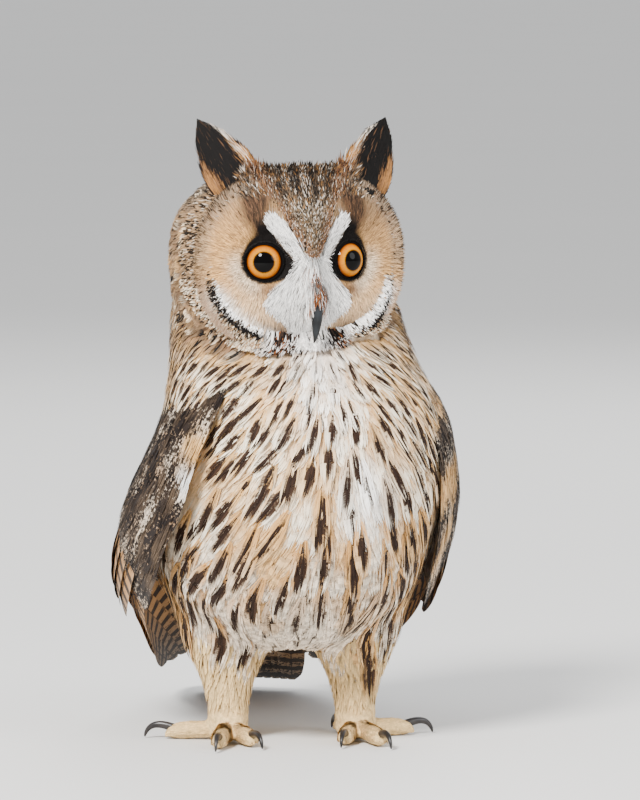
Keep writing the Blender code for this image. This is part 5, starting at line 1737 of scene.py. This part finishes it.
# Bill: share of its length, depth, height, radius.
BILL_PATHS = {
    "upper": (
        (0, -20, -2, 5.4), (0.16, -29, -7, 5.2), (0.33, -34, -14, 4.4), (0.5, -36.2, -20, 3.5),
        (0.67, -36.2, -26, 2.4), (0.84, -34.8, -31, 1.2), (1, -33.2, -33.6, 0.25),
    ),
    "lower": ((0, -17, -13, 3.6), (0.33, -22, -18, 2.7), (0.67, -25, -22, 1.6), (1, -26.8, -25.2, 0.5)),
}


def make_eyes():
    """Each eye is one glossy ball with the cornea's dome; the lids are a bare black ring whose upper edge
    comes lower over the iris."""
    for word, side in SIDES.items():
        out = EYE_OUT * (side, 1, 1)
        middle = EYE_MIDDLE * (side, 1, 1)
        across = unit(np.cross(UP, out))
        up = np.cross(out, across)
        off = np.radians(np.linspace(0.5, 179, 80))[:, None]
        turn = np.linspace(0, 2 * math.pi, 64, endpoint=False)[None]
        radius = EYE_RADIUS + CORNEA_RISE * np.clip(1 - (np.degrees(off) / CORNEA_EDGE) ** 2, 0, 1)

        def ball(off, turn, radius):
            ring = np.cos(turn)[..., None] * across + np.sin(turn)[..., None] * up
            ways = np.cos(off)[..., None] * out + np.sin(off)[..., None] * ring
            return middle + ways * radius[..., None]

        points = ball(off, turn, radius + 0 * turn)
        verts, tris = closed_surface(from_head(points))
        wide = radius * np.sin(off)
        inward = -side * PUPIL_INWARD[word] * np.clip(1 - wide / (EYE_RADIUS * IRIS_SHARE), 0, 1)
        share = (np.hypot(wide * np.cos(turn) - inward, wide * np.sin(turn)) / EYE_RADIUS).ravel()
        share[(np.degrees(off) > 88).repeat(64)] = 1.0
        flat = np.stack([share, np.broadcast_to(turn / (2 * math.pi), points.shape[:2]).ravel()], 1)
        flat = np.concatenate([flat, [(0, 0), (1, 0)]])
        if np.dot(np.cross(across, up), out) > 0:
            tris = tris[:, ::-1]
        new_mesh("eye_ball_" + word, verts, tris, eye_wet, ("eye_" + word,), maps={"iris": flat})
        past, reach = np.array(LID_PROFILE).T
        around = np.linspace(0, 2 * math.pi, 96, endpoint=False)
        above, below = (np.clip(way * np.sin(around), 0, 1) ** 2 for way in (1, -1))
        open_to = LID_OPENING - UPPER_LID * above - LOWER_LID * below
        lid_off = np.radians(open_to[:, None] + past)
        lid = from_head(ball(lid_off, around[:, None] + 0 * lid_off, reach + 0 * lid_off))
        quads = wrap_grid(len(lid) + 1, len(past)) % lid[..., 0].size
        new_mesh("lid_rim_" + word, lid, quads, lid_skin, ("eyelid_" + word,))


def make_bill():
    """Hooked bill: an egg-shaped section carried along the culmen's curve, ridged on top, with the shorter
    lower bill behind it."""
    for name, part in (("bill_hook", "upper"), ("bill_under", "lower")):
        y, z, r = smooth(BILL_PATHS[part], np.linspace(0, 1, 60)).T
        line = np.stack([0 * y, y, z], 1)
        along = unit(np.gradient(line, axis=0))
        out = unit(np.cross(along, (1.0, 0, 0)))
        out = out * np.sign(out[:, 1:2] * -1)
        turn = np.linspace(0, 2 * math.pi, 40, endpoint=False)
        ridge = 1 + 0.05 * bell(np.angle(np.exp(1j * (turn - math.pi / 2))), 0.35)
        sideways = 0.80 * np.cos(turn) * (1 - 0.12 * np.sin(turn))
        ring = sideways[:, None] * np.array((1.0, 0, 0)) + (np.sin(turn) * ridge)[:, None] * out[:, None]
        verts, tris = closed_surface(from_head(line[:, None] + ring * (r * 0.97)[:, None, None]))
        orient(new_mesh(name, verts, tris, bill_horn, ("bill_" + part,)))


def orient(obj):
    """Turns every face outward on a closed piece."""
    bm = bmesh.new()
    bm.from_mesh(obj.data)
    bmesh.ops.recalc_face_normals(bm, faces=bm.faces)
    bm.to_mesh(obj.data)
    bm.free()


def make_claws():
    for word, side in SIDES.items():
        for toe in TOES:
            path, radius = claw_path(toe, side)
            verts, tris = closed_surface(swept(path, radius, 16, flatten=0.85))
            name = "_%s_%s" % (toe, word)
            orient(new_mesh("talon" + name, verts, tris, claw_horn, ("claw" + name,)))


# Floor, light and camera


def make_floor():
    """Plain pale matt floor, wide enough to fill the view."""
    made, tree, shader = finish_named("floor_pale_matt", Roughness=0.85)
    cloud = noise(tree, in_metres(tree), 2.0, 2.0)
    tone = mixed(tree, cloud, (*linear("#D9D9D7"), 1), (*linear("#DDDCDA"), 1))
    tree.links.new(tone, shader.inputs["Base Color"])
    mesh = bpy.data.meshes.new("floor")
    mesh.from_pydata([(-40, -40, 0), (40, -40, 0), (40, 40, 0), (-40, 40, 0)], [], [(0, 1, 2, 3)])
    mesh.materials.append(made)
    add_object("floor", mesh)


SKY_STRENGTH, LIT_PLACE = 1.12, (0, 0, 0.15)
# Name, place and size in metres, watts, colour.
LAMPS = (
    ("key", (-0.9, -1.5, 1.5), 0.6, 112, (1.0, 0.98, 0.95)),
    ("fill", (1.6, -1.2, 0.9), 1.2, 22, (0.95, 0.97, 1.0)),
    ("back", (0.6, 1.6, 1.4), 1.2, 22, (1.0, 1.0, 1.0)),
)


def lamp(name, place, size, power, colour):
    """A round lamp that shines at the middle of the bird."""
    data = bpy.data.lights.new(name, "AREA")
    data.shape = "DISK"
    data.size = size
    data.energy = power
    data.color = colour
    obj = add_object(name, data)
    obj.location = place
    obj.rotation_euler = (Vector(LIT_PLACE) - Vector(place)).to_track_quat("-Z", "Y").to_euler()


def make_studio():
    world = bpy.data.worlds.new("studio")
    bpy.context.scene.world = world
    world.use_nodes = True
    sky = world.node_tree.nodes["Background"]
    sky.inputs["Color"].default_value = (*linear("#EDEEF0"), 1)
    sky.inputs["Strength"].default_value = SKY_STRENGTH
    for row in LAMPS:
        lamp(*row)


CAMERA_AZIMUTH, CAMERA_ELEVATION, CAMERA_DISTANCE = math.radians(-7.0), math.radians(4.5), 2.6
# The photograph's 800 pixels of height at 0.42 mm each.
VIEW_HEIGHT = 0.336
VIEW_CENTRE = np.array((10.5, -1.4, 144.9))


def make_camera():
    data = bpy.data.cameras.new("camera")
    data.lens = 36.0 * CAMERA_DISTANCE / VIEW_HEIGHT
    data.clip_start, data.clip_end = 0.1, 200.0
    camera = add_object("camera", data)
    level = math.cos(CAMERA_ELEVATION)
    back = Vector((
        math.sin(CAMERA_AZIMUTH) * level, -math.cos(CAMERA_AZIMUTH) * level, math.sin(CAMERA_ELEVATION),
    ))
    camera.location = Vector(into_frame(VIEW_CENTRE)) + back * CAMERA_DISTANCE
    camera.rotation_euler = (-back).to_track_quat("-Z", "Y").to_euler()
    bpy.context.scene.camera = camera


make_skin()
dress_body("under_coat", UNDER_SIZES, 39, 193, (-3.6, -1.6), UNDER_PLANS, 0.3, 0.25)
dress_body("loose_coat", LOOSE_SIZES, 41, 193, (-2.6, -0.5), SOFT_PLANS, 0.3, 0.10, loft=0.9)
dress_body(
    "streaked_coat", STREAK_SIZES, 48, 186, (-0.7, 0.5), SOFT_PLANS, 0.66, 0.97, loft=0.8, streaked=True
)
dress_head("head_under_coat", 4.4, (12.0, 3.6), (-2.6, -1.0), UNDER_PLANS, 0.2, 0.0)
dress_head("head_loose_coat", 3.3, (12.5, 2.5), (-1.7, 0.25), HEAD_PLANS, 0.25, 0.8)
for word, side in SIDES.items():
    dress_disc(word, side)
    dress_brow(word, side)
    dress_bristles(word, side)
    dress_tuft(word)
    wing_pad(word)
    dress_wing(word)
dress_wedge()
dress_rim()
dress_tail()
dress_legs()
make_eyes()
make_bill()
make_claws()
make_floor()
make_studio()
make_camera()
